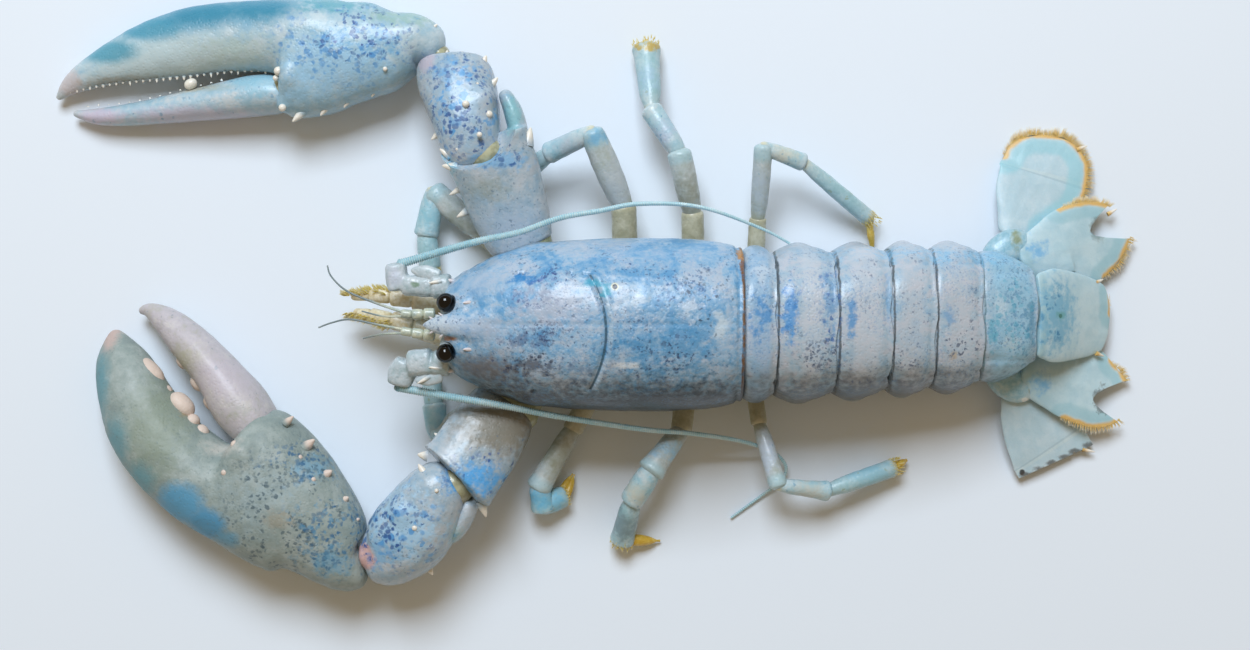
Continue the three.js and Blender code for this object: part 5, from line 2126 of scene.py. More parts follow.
RING_LOOK = Shell(
    "Abdomen shell", pale="#b8c0cb", middle="#a6bccb", deep="#7aa9ca", mottle=90, depth=0.5,
    specks=(
        FINE,
        Speckle("#2b4a78", 900, 0.5, 0.6, 90, 0.5),
        Speckle("#2f79bd", 560, 0.6, 0.95, 150, 0.8, (52, 4, 46), (5, 14, 14)),
        Speckle("#2c62a4", 600, 0.6, 0.95, 150, 0.85, (64, 6, 46), (5, 18, 20)),
        Speckle("#2b4468", 780, 0.6, 1.2, 130, 0.85, (60, -10, 44), (10, 8, 16)),
        Speckle("#2b4468", 780, 0.6, 1.2, 130, 0.85, (106, -6, 38), (9, 10, 16)),
        Speckle("#2b4468", 780, 0.55, 1.1, 130, 0.8, (88, -10, 38), (8, 8, 16)),
        Speckle("#3b7ba8", 700, 0.6, 1.1, 130, 0.6, (123, 0, 32), (11, 22, 24)),
        Speckle("#3fa6c4", 520, 0.62, 1.3, 110, 0.5, (122, 4, 32), (12, 22, 24)),
    ),
    across_x=(
        Stripe("#85b0d4", 42.2, 4.6, 0.55), Stripe("#c3cbd4", 58, 4, 0.5), Stripe("#c6ccd5", 75, 6, 0.5),
        Stripe("#c3c9d2", 90, 5, 0.4), Stripe("#c4c9d1", 105, 5, 0.4),
        Stripe("#93c3dc", 123, 11, 0.8), Stripe("#465055", 47.6, 0.55, 0.85),
        Stripe("#465055", 66.8, 0.5, 0.85),
        Stripe("#465055", 84.0, 0.5, 0.85), Stripe("#465055", 98.0, 0.5, 0.85),
        Stripe("#5d7f88", 113.6, 0.5, 0.7),
        Stripe("#4f7078", 131.8, 0.7, 0.7),
    ),
    patches=(
        Patch("#4a8fc8", (42.2, 3.0, 48), (4.4, 9.0, 12), 0.85, 0.8, 1.4),
        Patch("#c0cfdb", (42.4, 16.0, 44), (4.4, 6.0, 12), 0.7, 0.8, 0.9),
        Patch("#4a92cf", (51.2, 3.0, 48), (3.2, 11.0, 12), 0.9, 0.7, 1.0),
        Patch("#5b95c4", (63.6, 9.0, 46), (3.2, 12.0, 12), 0.7, 0.8, 1.2),
        Patch("#4f92c8", (70.4, 2.6, 46), (2.2, 8.0, 12), 0.85, 0.7, 0.9),
        Patch("#5f9dcc", (82.0, 8.0, 44), (1.8, 10.0, 12), 0.5, 0.8, 1.2),
        Patch("#5c98c8", (101.6, 3.0, 40), (2.6, 4.0, 12), 0.6, 0.8, 1.0),
        Patch("#b9a888", (103.2, -9.6, 38), (1.8, 2.2, 8), 0.6, 0.7, 0.4),
        # Painted highlights: pale sheen on the back of the sixth ring.
        Patch("#d3e2ea", (119.0, 5.0, 36), (3.4, 6.0, 12), 0.45, 0.9, 0.8),
        Patch("#d0dedf", (123.0, -6.0, 33), (5.0, 4.0, 12), 0.45, 0.9, 0.8),
        Patch("#4fa9c4", (116.0, -2.0, 36), (2.4, 6.0, 12), 0.6, 0.8, 1.2),
        Patch("#3f86a8", (129.0, 3.0, 28), (2.4, 10.0, 12), 0.6, 0.8, 1.2),
        Patch("#7cbbdf", (86, 21, 28), (56, 4.6, 12), 0.7, 0.8, 0.9),
        # Painted shade on the shaded left lower flank of the rings.
        Patch("#353d47", (84, -27, 27), (96, 17, 60), 0.85, 0.7, 0.4),
        Patch("#a3b3b6", (86, -26, 14), (56, 5, 7), 0.6, 0.8, 0.7),
    ),
    underside="#8e9a98", underside_level=(2.0, 10.0),
)
FAN_LOOK = Shell(
    "Tail fan shell", pale="#c3dce4", middle="#b6d4de", deep="#a3c8d5", mottle=50, depth=0.4,
    along=(Stripe("#8fb6bd", 0.02, 0.1, 0.4),),
    rim=(Stripe("#8fc0cc", 3.6, 2.6, 0.5), Stripe("#e0b45a", 0.0, 2.0, 0.9)),
    specks=(Speckle("#2f7fae", 600, 0.6, 0.95, 150, 0.8, (136, 3, 22), (7, 15, 10)),),
    patches=(
        Patch("#74b2d0", (138, 3, 22), (12, 17, 14), 0.85, 0.8, 0.8),
        Patch("#26424a", (139.6, 2.7, 21), (0.9, 0.9, 8), 0.9, 0.4, 0.3),
        Patch("#4f9f8d", (139.6, 2.7, 21), (2.8, 2.0, 8), 0.5, 0.7, 0.6),
        Patch("#3a2c24", (156, -25.0, 5), (4.0, 5.6, 4), 0.6, 0.3, 0.6),
        Patch("#5a6a66", (155.6, 31.6, 6), (4.4, 5.0, 4), 0.5, 0.4, 0.4),
        Patch("#6fb2dc", (134, 24, 10), (6, 5, 6), 0.8, 0.8, 0.8),
        Patch("#6fb2dc", (135, -19, 10), (6, 5, 6), 0.8, 0.8, 0.8),
    ),
    underside="#b3c6c2", underside_level=(0.3, 2.0), roughness=0.46, coat=0.1, bump=0.1, translucency=0.3,
)
OUTER_LOOK = Shell(
    "Outer fan shell", pale="#c6dae2", middle="#b9d2dc", deep="#a6c8d4", mottle=50, depth=0.4,
    along=(Stripe("#7f9ca8", 0.63, 0.012, 0.25), Stripe("#dfe6de", 0.65, 0.02, 0.2)),
    rim=(Stripe("#8fcbd8", 4.4, 3.4, 0.6), Stripe("#e0b45a", 0.0, 2.0, 0.9)),
    patches=(
        Patch("#16181a", (130.6, -48.6, 2), (1.3, 1.3, 4), 0.9, 0.4, 0.3),
        *(Patch("#4a4038", (132 + 4.2 * step, -49.4 + 1.89 * step, 2), (3.4, 1.5, 4), 0.75, 0.6, 0.5)
          for step in range(6)),
    ),
    underside="#b3c6c2", underside_level=(0.3, 1.6), roughness=0.46, coat=0.1, bump=0.1, translucency=0.3,
)
STEM_LOOK = Shell(
    "Tail stem shell", pale="#b9d3dc", middle="#9cc6d6", deep="#7aaec2", mottle=140, depth=0.6,
    patches=(
        Patch("#4f9fd8", (131.4, 20.4, 12), (4, 2.2, 4), 0.8, 0.6, 0.6),
        Patch("#8b9468", (127.4, 27.6, 12), (2.6, 4.0, 6), 0.8, 0.7, 0.6),
        Patch("#4f9fd8", (131.0, -15.6, 12), (3, 2.2, 4), 0.8, 0.6, 0.6),
        Patch("#9a9366", (134.0, -21.4, 12), (3.6, 1.4, 6), 0.8, 0.6, 0.4),
        Patch("#eef2ee", (130.4, -24.6, 11), (1.6, 1.2, 4), 0.8, 0.5, 0.3),
    ),
)
CUTTER_LOOK = Shell(
    "Right claw shell", pale="#bfd2da", middle="#a3c3d2", deep="#7fb0cb", mottle=60, depth=0.5,
    specks=(
        Speckle("#3f8ccc", 480, 0.62, 2.4, 120, 0.85, (-90, 90, 14), (30, 17, 40)),
        Speckle("#1d4f92", 620, 0.62, 2.6, 120, 0.95, (-86, 93, 14), (25, 13, 40)),
    ),
    patches=(
        Patch("#c6dade", (-146, 86, 8), (44, 14, 40), 0.85, 0.7, 0.3),
        Patch("#a6bcb0", (-124, 88, 10), (20, 8, 40), 0.4, 0.9, 0.8),
        Patch("#4798b0", (-168, 89, 6), (14, 5.6, 30), 0.9, 0.6, 0.12),
        Patch("#3a93af", (-154, 96.5, 6), (19, 6.6, 30), 0.9, 0.6, 0.12),
        Patch("#2f88a6", (-136, 101, 6), (21, 8.8, 30), 0.98, 0.6, 0.12),
        Patch("#2f88a6", (-117, 102, 6), (21, 9.0, 30), 0.98, 0.6, 0.12),
        Patch("#55a3b4", (-94, 103.4, 6), (18, 5.0, 30), 0.8, 0.6, 0.5),
        Patch("#8fb5a6", (-72, 99, 8), (18, 5.0, 30), 0.6, 0.7, 0.7),
        Patch("#a0cdea", (-92, 82, 12), (28, 14, 40), 0.85, 0.8, 0.7),
        Patch("#4c9ac8", (-94, 92, 12), (9, 5, 40), 0.55, 0.7, 1.2),
        Patch("#4c9ac8", (-78, 90, 12), (7, 5, 40), 0.5, 0.7, 1.2),
        Patch("#c9bfc0", (-182, 79, 5), (7, 7, 20), 0.8, 0.7, 0.3),
        # Painted shade in the gap between the fingers, over the brownish inner wall of the fixed finger.
        Patch("#8a7f5c", (-122, 81, 6), (20, 3.0, 30), 0.7, 0.7, 0.4),
        Patch("#9c927a", (-158, 79, 4), (26, 3.2, 30), 0.6, 0.7, 0.4),
    ),
    underside="#c9b9a2", underside_level=(0.0, 9.0),
)
CUTTER_FINGER_LOOK = Shell(
    "Right finger shell", pale="#c2cdd2", middle="#a8c4d2", deep="#86b3c6", mottle=90, depth=0.5,
    specks=(Speckle("#4f86a8", 520, 0.34, 0.45, 60, 0.6),),
    patches=(
        Patch("#8fc3d8", (-118, 78, 12), (16, 6, 20), 0.7, 0.7, 0.7),
        Patch("#c4c0d2", (-140, 68, 6), (34, 4.6, 20), 0.8, 0.7, 0.4),
        Patch("#c9bdd0", (-172, 68, 5), (12, 4.0, 20), 0.8, 0.7, 0.3),
        # Painted shade along the finger's edge in the gap between the fingers.
        Patch("#b2a684", (-150, 77, 6), (36, 2.2, 20), 0.6, 0.7, 0.3),
    ),
    underside="#c9b9a2", underside_level=(0.0, 7.0),
)
CRUSHER_LOOK = Shell(
    "Left claw shell", pale="#a3b0ae", middle="#91a09d", deep="#7f9090", mottle=60, depth=0.6,
    specks=(
        Speckle("#3a5462", 620, 0.6, 1.7, 110, 0.85, (-108, -60, 24), (30, 27, 30)),
        Speckle("#26628c", 560, 0.62, 2.0, 120, 0.9, (-94, -68, 20), (17, 17, 30)),
        Speckle("#26628c", 560, 0.6, 1.8, 120, 0.9, (-104, -44, 22), (17, 9, 30)),
        Speckle("#4f8fb4", 480, 0.6, 1.5, 120, 0.6, (-98, -66, 20), (19, 20, 30)),
        Speckle("#6d7f80", 800, 0.4, 0.6, 90, 0.5),
    ),
    patches=(
        Patch("#869484", (-150, -34, 16), (16, 24, 40), 0.8, 0.8, 0.4),
        Patch("#9fb6bf", (-116, -56, 16), (18, 18, 40), 0.5, 0.9, 0.8),
        Patch("#6397a4", (-170, -20, 10), (5.4, 18, 40), 0.9, 0.8, 0.2),
        Patch("#6397a4", (-164, -38, 12), (7.4, 13, 40), 0.9, 0.8, 0.2),
        Patch("#639ba9", (-156, -50, 12), (9, 9, 40), 0.9, 0.8, 0.2),
        Patch("#5c9fc4", (-142, -57, 14), (11, 9.4, 40), 0.98, 0.5, 0.15),
        Patch("#559bc4", (-133.6, -63.6, 14), (9, 7.4, 40), 0.98, 0.5, 0.15),
        Patch("#5f9dbc", (-127, -68.5, 12), (6, 4.4, 40), 0.8, 0.6, 0.2),
        Patch("#c4ada6", (-168, -4, 6), (4.6, 8, 20), 0.85, 0.7, 0.3),
        Patch("#b08a5c", (-138, -27, 14), (9, 4.4, 12), 0.8, 0.7, 0.5),
        Patch("#a9855a", (-129, -31, 14), (8, 4.4, 12), 0.7, 0.7, 0.5),
        Patch("#c6c4bd", (-127, -39, 24), (11, 4.4, 10), 0.7, 0.7, 0.4),
        Patch("#6aa6c8", (-94, -76, 20), (9, 7, 30), 0.6, 0.8, 1.0),
        Patch("#6aa6c8", (-100, -46, 20), (9, 5, 30), 0.6, 0.8, 1.0),
        Patch("#998c70", (-110, -62, 28), (8, 6, 14), 0.5, 0.9, 0.9),
    ),
    spine_colour="#dcccc0", underside="#c4b7a2", underside_level=(0.0, 9.0), roughness=0.56, coat=0.08,
)
CRUSHER_FINGER_LOOK = Shell(
    "Left finger shell", pale="#cbc8c8", middle="#c0bcc4", deep="#b1b1a6", mottle=70, depth=0.6,
    specks=(Speckle("#5f7f92", 560, 0.34, 0.3, 60, 0.4),),
    patches=(
        Patch("#a6a78c", (-142, -12, 10), (12, 8, 20), 0.8, 0.8, 0.4),
        Patch("#a2ab97", (-124, -28, 10), (12, 8, 20), 0.6, 0.8, 0.5),
        Patch("#c2bcc6", (-128, -16, 22), (16, 10, 12), 0.7, 0.8, 0.4),
        Patch("#a5714c", (-124.5, -37, 26), (1.9, 1.4, 8), 0.8, 0.5, 0.3),
        Patch("#4fa3cc", (-117, -37.5, 26), (2.2, 3.2, 8), 0.8, 0.5, 0.5),
    ),
    spine_colour="#d6c8bc", underside="#b7a98c", underside_level=(0.0, 8.0), roughness=0.5, coat=0.15,
)
ARM_LOOK = Shell(
    "Arm shell", pale="#bac4cc", middle="#a8bac5", deep="#86a9c0", mottle=90, depth=0.55,
    specks=(
        Speckle("#4a9cd8", 380, 0.64, 2.6, 100, 0.85, (-51, 70, 24), (17, 24, 40)),
        Speckle("#1c5296", 560, 0.64, 2.8, 110, 0.95, (-52, 70, 24), (15, 22, 40)),
        Speckle("#3a90d2", 380, 0.64, 2.6, 100, 0.85, (-71, -65, 24), (21, 19, 40)),
        Speckle("#1c5296", 560, 0.64, 2.8, 110, 0.95, (-73, -66, 24), (20, 17, 40)),
        Speckle("#1c5296", 560, 0.62, 2.4, 110, 0.95, (-45, -47, 28), (18, 10, 40)),
        Speckle("#1c5296", 560, 0.62, 2.4, 110, 0.9, (-41, 54, 28), (15, 6, 40)),
        Speckle("#57728c", 820, 0.4, 0.5, 90, 0.6),
    ),
    patches=(
        Patch("#4f98c8", (-57, 80, 24), (5, 8, 20), 0.5, 0.8, 1.2),
        Patch("#4d97c6", (-51, 80, 24), (5, 5, 20), 0.5, 0.8, 1.2),
        Patch("#c2c4c6", (-44, 68, 24), (5, 12, 20), 0.5, 0.8, 0.6),
        Patch("#9fc3de", (-52, 68, 24), (16, 20, 30), 0.6, 0.8, 0.7),
        Patch("#a9bccf", (-36, 32, 24), (16, 10, 20), 0.7, 0.9, 0.6),
        Patch("#8f9a94", (-44, 43, 27), (11, 6, 20), 0.65, 0.9, 0.8),
        Patch("#7fb4dc", (-40, 52, 30), (13, 4.5, 16), 0.85, 0.7, 0.8),
        Patch("#56bcd0", (-58, 48, 22), (7, 8, 16), 0.6, 0.8, 0.7),
        Patch("#a4cfec", (-71, -64, 24), (19, 17, 30), 0.85, 0.8, 0.8),
        Patch("#4f98c8", (-76, -72, 24), (9, 7, 20), 0.45, 0.8, 1.2),
        # Painted shadow: the shield's shadow on the near half of the left merus.
        Patch("#7f7a6b", (-40, -33, 26), (20, 14, 30), 0.9, 0.7, 0.4),
        Patch("#4fa6e4", (-48, -49, 28), (13, 8, 16), 0.95, 0.7, 0.7),
        Patch("#cfaaa6", (-83.6, -74.4, 22), (5.0, 5.0, 10), 0.95, 0.3, 0.3),
        Patch("#b9b3c2", (-63.6, 84.2, 22), (4.6, 4.6, 10), 0.85, 0.5, 0.4),
        Patch("#82c2cc", (-36, 67, 26), (4.4, 9, 14), 0.75, 0.6, 0.4),
        Patch("#86c0c8", (-54.6, -66.6, 22), (4, 5, 10), 0.6, 0.7, 0.4),
    ),
    underside="#a39c84", underside_level=(6.0, 17.0),
)
ARM_BASE_LOOK = Shell(
    "Arm root shell", pale="#b7bda4", middle="#a2a888", deep="#7d8a6e", mottle=120, depth=0.6,
    patches=(Patch("#5fb6cc", (-36, 30, 26), (5, 4, 10), 0.7, 0.7, 0.6),
             Patch("#5fb6cc", (-42, -30, 26), (5, 4, 10), 0.7, 0.7, 0.6)),
)
HEAD_LOOK = Shell(
    "Head stem shell", pale="#c6d2d8", middle="#b3c3ca", deep="#94b0b2", mottle=160, depth=0.55,
    specks=(Speckle("#5f878c", 620, 0.34, 0.4, 90, 0.4),),
    patches=(
        Patch("#5b7f5c", (-66, 12.6, 37), (1.9, 1.3, 6), 0.75, 0.6, 0.5),
        Patch("#7fa09a", (-64, 0, 40), (5, 3.6, 6), 0.55, 0.8, 0.5),
        Patch("#c58a3c", (-60.6, -5.6, 40), (2.4, 1.6, 6), 0.8, 0.6, 0.5),
        Patch("#cfd6ea", (-72.6, 15, 36), (3.4, 4.6, 6), 0.6, 0.8, 0.4),
    ),
)
WHIP_LOOK = Shell(
    "Feeler rings", pale="#b9d8e0", middle="#a3cfdb", deep="#8fc2d2", mottle=90, depth=0.6,
    along=(Stripe("#e6f2f2", 0.88, 0.16, 0.6),), underside_level=(-4.0, -2.0), roughness=0.28,
)
FORK_LOOK = Shell(
    "Short feeler rings", pale="#cfd3bd", middle="#b3bfb2", deep="#8fa3a0", mottle=200, depth=0.6,
    across_x=(Stripe("#6b7d84", -88, 15, 0.9),),
    underside_level=(-4.0, -2.0), roughness=0.3,
)
MOUTH_LOOK = Shell(
    "Mouth shell", pale="#ebe7d6", middle="#d9d0b0", deep="#b8a064", mottle=160, depth=0.5,
    patches=(Patch("#6f8f90", (-66, 0, 16), (8, 6, 8), 0.6, 0.9, 0.6),), underside_level=(-4.0, -2.0),
)
LEG_ROOT = Shell(
    "Leg root shell", pale="#c9c8b2", middle="#b9b89e", deep="#a3a286", mottle=120, depth=0.6,
    underside="#bdb491", underside_level=(0.5, 6.0),
)
LEG_UPPER = Shell(
    "Leg upper shell", pale="#cdd5d5", middle="#bac6c7", deep="#a3ada0", mottle=100, depth=0.5,
    along=(Stripe("#a9ab8c", 0.02, 0.2, 0.7), Stripe("#a3cfdb", 0.92, 0.16, 0.5)),
    specks=(Speckle("#6fa0b4", 640, 0.34, 0.4, 80, 0.5),),
    patches=(
        Patch("#8d9080", (20.5, 43, 14), (6, 13, 9), 0.85, 0.7, 0.4),
        Patch("#bac5cb", (-3, 46, 17), (8, 14, 12), 0.85, 0.8, 0.4),
        Patch("#9dcbe8", (13, -41, 15), (8, 6, 9), 0.9, 0.7, 0.5),
        Patch("#c9daec", (46, -42, 14), (5, 11, 9), 0.9, 0.7, 0.4),
        Patch("#979a84", (-22, -43, 9), (9, 10, 9), 0.8, 0.8, 0.5),
        Patch("#b3c3d0", (43.6, 46, 16), (5, 12, 9), 0.8, 0.8, 0.4),
        Patch("#6fb2d6", (-9, 60, 22), (5, 4.4, 9), 0.8, 0.7, 0.6),
    ),
    underside="#bfb89c", underside_level=(0.5, 8.0), translucency=0.25,
)
LEG_KNEE = Shell(
    "Leg knee shell", pale="#c9d8dc", middle="#aecbd4", deep="#86bccd", mottle=110, depth=0.55,
    along=(Stripe("#dcd8b6", 0.0, 0.16, 0.75), Stripe("#86c6d6", 0.6, 0.3, 0.4)),
    specks=(Speckle("#4f96b8", 560, 0.4, 0.5, 100, 0.6),),
    patches=(
        Patch("#bcc9dc", (12.6, 62, 15), (6, 8, 9), 0.85, 0.8, 0.4),
        Patch("#d3d4c6", (51, 55, 18), (7.6, 5, 9), 0.85, 0.8, 0.4),
        Patch("#c9cabd", (3.6, -54, 15), (5, 6, 9), 0.85, 0.7, 0.4),
        Patch("#c3c9c3", (59, -54, 13), (8, 5, 9), 0.85, 0.7, 0.4),
        Patch("#68bbe0", (-28, -56, 9), (6, 6, 9), 0.85, 0.7, 0.5),
        Patch("#b9c2cc", (-18, 58, 18), (8, 6, 9), 0.8, 0.8, 0.4),
    ),
    underside="#bfb89c", underside_level=(0.5, 7.0), translucency=0.2,
)
LEG_LOWER = Shell(
    "Leg lower shell", pale="#c3d5d8", middle="#abc8cf", deep="#90b3b4", mottle=110, depth=0.5,
    along=(Stripe("#d9d5b6", 0.0, 0.14, 0.7), Stripe("#8ac6d3", 0.5, 0.4, 0.3),
           Stripe("#cdbb74", 1.0, 0.1, 0.7)),
    specks=(Speckle("#8f9a64", 520, 0.36, 0.4, 80, 0.5),),
    patches=(
        Patch("#7d98a2", (0, -64, 9), (7, 9, 9), 0.9, 0.6, 0.5),
        Patch("#a9c9e2", (7.6, 79, 9), (5, 8, 9), 0.7, 0.7, 0.5),
        Patch("#8fc4d8", (80, -49, 8), (12, 6, 9), 0.7, 0.7, 0.4),
        Patch("#c2a63c", (7, 91, 5), (5, 2.6, 9), 0.85, 0.5, 0.9),
        Patch("#6fbfe4", (-23, -58, 6), (5, 5, 9), 0.7, 0.7, 0.5),
    ),
    underside="#c2b995", underside_level=(0.5, 7.0), translucency=0.2,
)
LEG_TIP = Shell(
    "Leg tip shell", pale="#dcc46c", middle="#d3b144", deep="#bd962e", mottle=150, depth=0.6,
    along=(Stripe("#b3c4a8", 0.0, 0.26, 0.6),), underside="#b7a56c", underside_level=(0.3, 2.0),
)
LEG_LOOKS = LegFinishes(LEG_ROOT, LEG_UPPER, LEG_KNEE, LEG_LOWER, LEG_TIP)
EYE_GLOSS = Soft("Eye gloss", "#010102", "#020203", 400, roughness=0.07, coat=0.0, bump=0.05,
                 translucency=0.0)
JOINT_SKIN = Soft("Joint skin", "#bdbc9c", "#8f8d6c", 260, roughness=0.35, translucency=0.3)
BELLY_SKIN = Soft("Belly skin", "#a9ad9a", "#8b9384", 220, roughness=0.4)
LEAF_SKIN = Soft("Swimmeret skin", "#b9bea6", "#9aa68f", 260, roughness=0.4, translucency=0.3)
AMBER_HAIR = Soft("Amber hair", "#f9e0a0", "#f2cf7c", 500, 0.5, 0.1, 0.1, 0.6, tip="#fff6e0")
GOLD_HAIR = Soft("Golden hair", "#e0c84a", "#e8d67c", 500, 0.5, 0.1, 0.1, 0.4, tip="#f6f0c6")


RIGHT_CLAW = Claw(
    Side.RIGHT,
    palm=(
        (-58.4, 89.8, 14.0, 4.2, 5.2), (-63, 91.2, 13.8, 6.8, 7.2), (-68.4, 92.4, 13.4, 8.8, 9.2),
        (-73, 91.0, 12.9, 11.8, 10.4), (-78, 89.8, 12.6, 14.4, 11.2), (-84, 89.2, 12.4, 15.8, 11.8),
        (-92, 87.9, 12.2, 17.2, 12.3), (-99, 86.6, 11.9, 18.4, 12.1), (-106, 86.2, 11.6, 19.2, 11.7),
        (-112.0, 86.6, 11, 18.0, 10.9),
    ),
    fixed_finger=(
        (-84, 91, 12.2, 12.4, 11.6), (-96, 92.4, 11.9, 13.4, 11.9), (-107, 93.2, 11.2, 12.8, 11.3),
        (-118, 94, 10.1, 11.8, 10.1), (-132, 93.8, 8.9, 11.3, 8.8),
        (-145, 92.1, 7.9, 10.9, 7.8), (-158, 88.8, 6.8, 9.2, 6.7), (-171, 84.4, 5.5, 6.4, 5.4),
        (-181.5, 79, 4.4, 3.6, 3.4), (-187, 73.6, 4, 0.9, 1),
    ),
    finger=(
        (-109, 74.6, 9.6, 5.6, 8), (-119, 74.9, 9.2, 6.9, 8), (-138, 72.2, 7.6, 5.6, 6.6),
        (-158, 69.4, 5.8, 3.9, 5), (-172, 68.3, 4.6, 2.9, 3.6), (-181.4, 69.4, 3.8, 0.9, 1),
    ),
    spines=(
        ((-104, 69.4, 15), (-107.6, 65.6, 16.4), 1.8), ((-96, 71.6, 15), (-98.6, 67.6, 16), 1.6),
        ((-88.4, 74.6, 15), (-91, 70.2, 16), 1.5), ((-79.6, 79, 15), (-82, 73.6, 16), 1.5),
        ((-64, 94, 17), (-60.6, 97, 18), 1.4),
    ),
    knobs=(
        ((-111.6, 81.6, 20.4), 1.5), ((-109.6, 80.2, 20.2), 1.1), ((-112.6, 79.4, 19.4), 1.0),
        ((-110.6, 70.0, 18.2), 1.3), ((-77, 82, 22.6), 0.8), ((-72, 87, 20.6), 0.8),
    ),
    fixed_teeth=(
        ToothRow(((-183, 76.4, 5.6), (-170, 78.6, 7.4), (-158, 79.8, 8.4), (-142, 81.2, 9.6),
                  (-128, 82.6, 10.6),
                  (-116, 82.8, 11.4)), (0.0, -1.0, 0.35), count=30),
    ),
    moving_teeth=(
        ToothRow(((-178, 71.2, 5.0), (-160, 73.0, 7.0), (-145, 76.6, 8.6), (-130, 80.0, 9.6)),
                 (0.0, 1.0, 0.3), count=14, height=0.6, radius=0.5),
    ),
    moving_molars=(((-143.6, 77.4, 9.6), (-139.8, 79.6, 10.4), 1.9),),
    bosses=(
        ((-109, 80, 21), (0, 0, 1.4), 6), ((-92, 88, 25), (0, 0, 0.9), 12),
        ((-112, 71, 16), (-1.2, -0.6, 0.8), 5),
    ),
)
LEFT_CLAW = Claw(
    Side.LEFT,
    palm=(
        (-83.6, -77, 15, 6.4, 7), (-89.6, -76.8, 15, 10.6, 11), (-99.6, -66.5, 15, 16.8, 14.6),
        (-112.4, -55.6, 15.3, 22, 15.2), (-123.5, -47.5, 15.3, 23.4, 15.1), (-129.8, -43.4, 14.6, 19, 13),
    ),
    fixed_finger=(
        (-104, -68, 15.3, 15.0, 13.4), (-114, -63.0, 15.2, 16.2, 14.6), (-125, -57.0, 15.0, 15.6, 14.8),
        (-137.6, -50.4, 14.4, 14.8, 14.1),
        (-148.6, -41.2, 13.6, 14.0, 13.1), (-155.4, -32.4, 12.5, 13.4, 12.1),
        (-160.8, -21.0, 10.7, 11.4, 10.2),
        (-165.2, -10.2, 7.9, 7.9, 7.2),
        (-167.4, -1.6, 5.4, 1.4, 1.6),
    ),
    finger=(
        (-116.6, -36, 14.4, 7.4, 10), (-124.6, -26.6, 14, 9.4, 11), (-132.4, -16, 12.6, 7.6, 9.6),
        (-141, -7, 10.4, 6.8, 7.8), (-149, 0.4, 8, 5, 5.6), (-155.4, 4.4, 6.4, 2.8, 3.4),
        (-159.4, 4.4, 5.6, 0.9, 1),
    ),
    spines=(
        ((-109.0, -31.8, 23), (-106.2, -29.4, 24), 1.5), ((-102.6, -39.4, 23), (-99.4, -36.8, 24.4), 2.0),
        ((-96.8, -48.6, 23), (-93.8, -46.8, 24.4), 2.1), ((-91.6, -57.0, 22), (-88.6, -55.4, 23.4), 2.0),
        ((-88.6, -63.6, 21), (-85.2, -62.4, 22.2), 1.7), ((-87.8, -68.4, 20), (-84.6, -67.6, 21), 1.5),
    ),
    knobs=(
        ((-127.4, -47.2, 28.6), 1.3), ((-124.4, -38.4, 27.0), 1.5), ((-121.4, -40.6, 28.0), 1.4),
        ((-104, -42.6, 25.6), 1.2), ((-99.6, -49.6, 26.6), 1.1), ((-111, -39.0, 25.0), 1.1),
    ),
    fixed_molars=(
        ((-159.2, -11.2, 11.6), (-150.2, -19.4, 13.2), 3.6),
        ((-150.4, -20.4, 13.2), (-147.6, -23.0, 13.4), 2.2),
        ((-147.6, -22.8, 14.0), (-140.2, -29.6, 15.0), 3.8),
        ((-142.0, -30.0, 15.4), (-138.2, -32.8, 15.8), 2.7),
        ((-139.0, -33.2, 16.0), (-135.2, -36.6, 16.4), 2.7),
    ),
    moving_molars=(
        ((-145.2, -9.6, 10.8), (-142.2, -14.4, 11.6), 2.5),
        ((-140.6, -16.6, 12.0), (-136.8, -21.4, 12.6), 2.6),
        ((-136.2, -23.0, 12.8), (-133.2, -27.8, 13.2), 2.3),
    ),
    bosses=(
        ((-123, -40, 28), (0, 0, 1.6), 8), ((-108, -60, 30), (0, 0, 1.0), 16),
        ((-119, -32, 22), (0.8, 1.0, 0.6), 6),
    ),
)

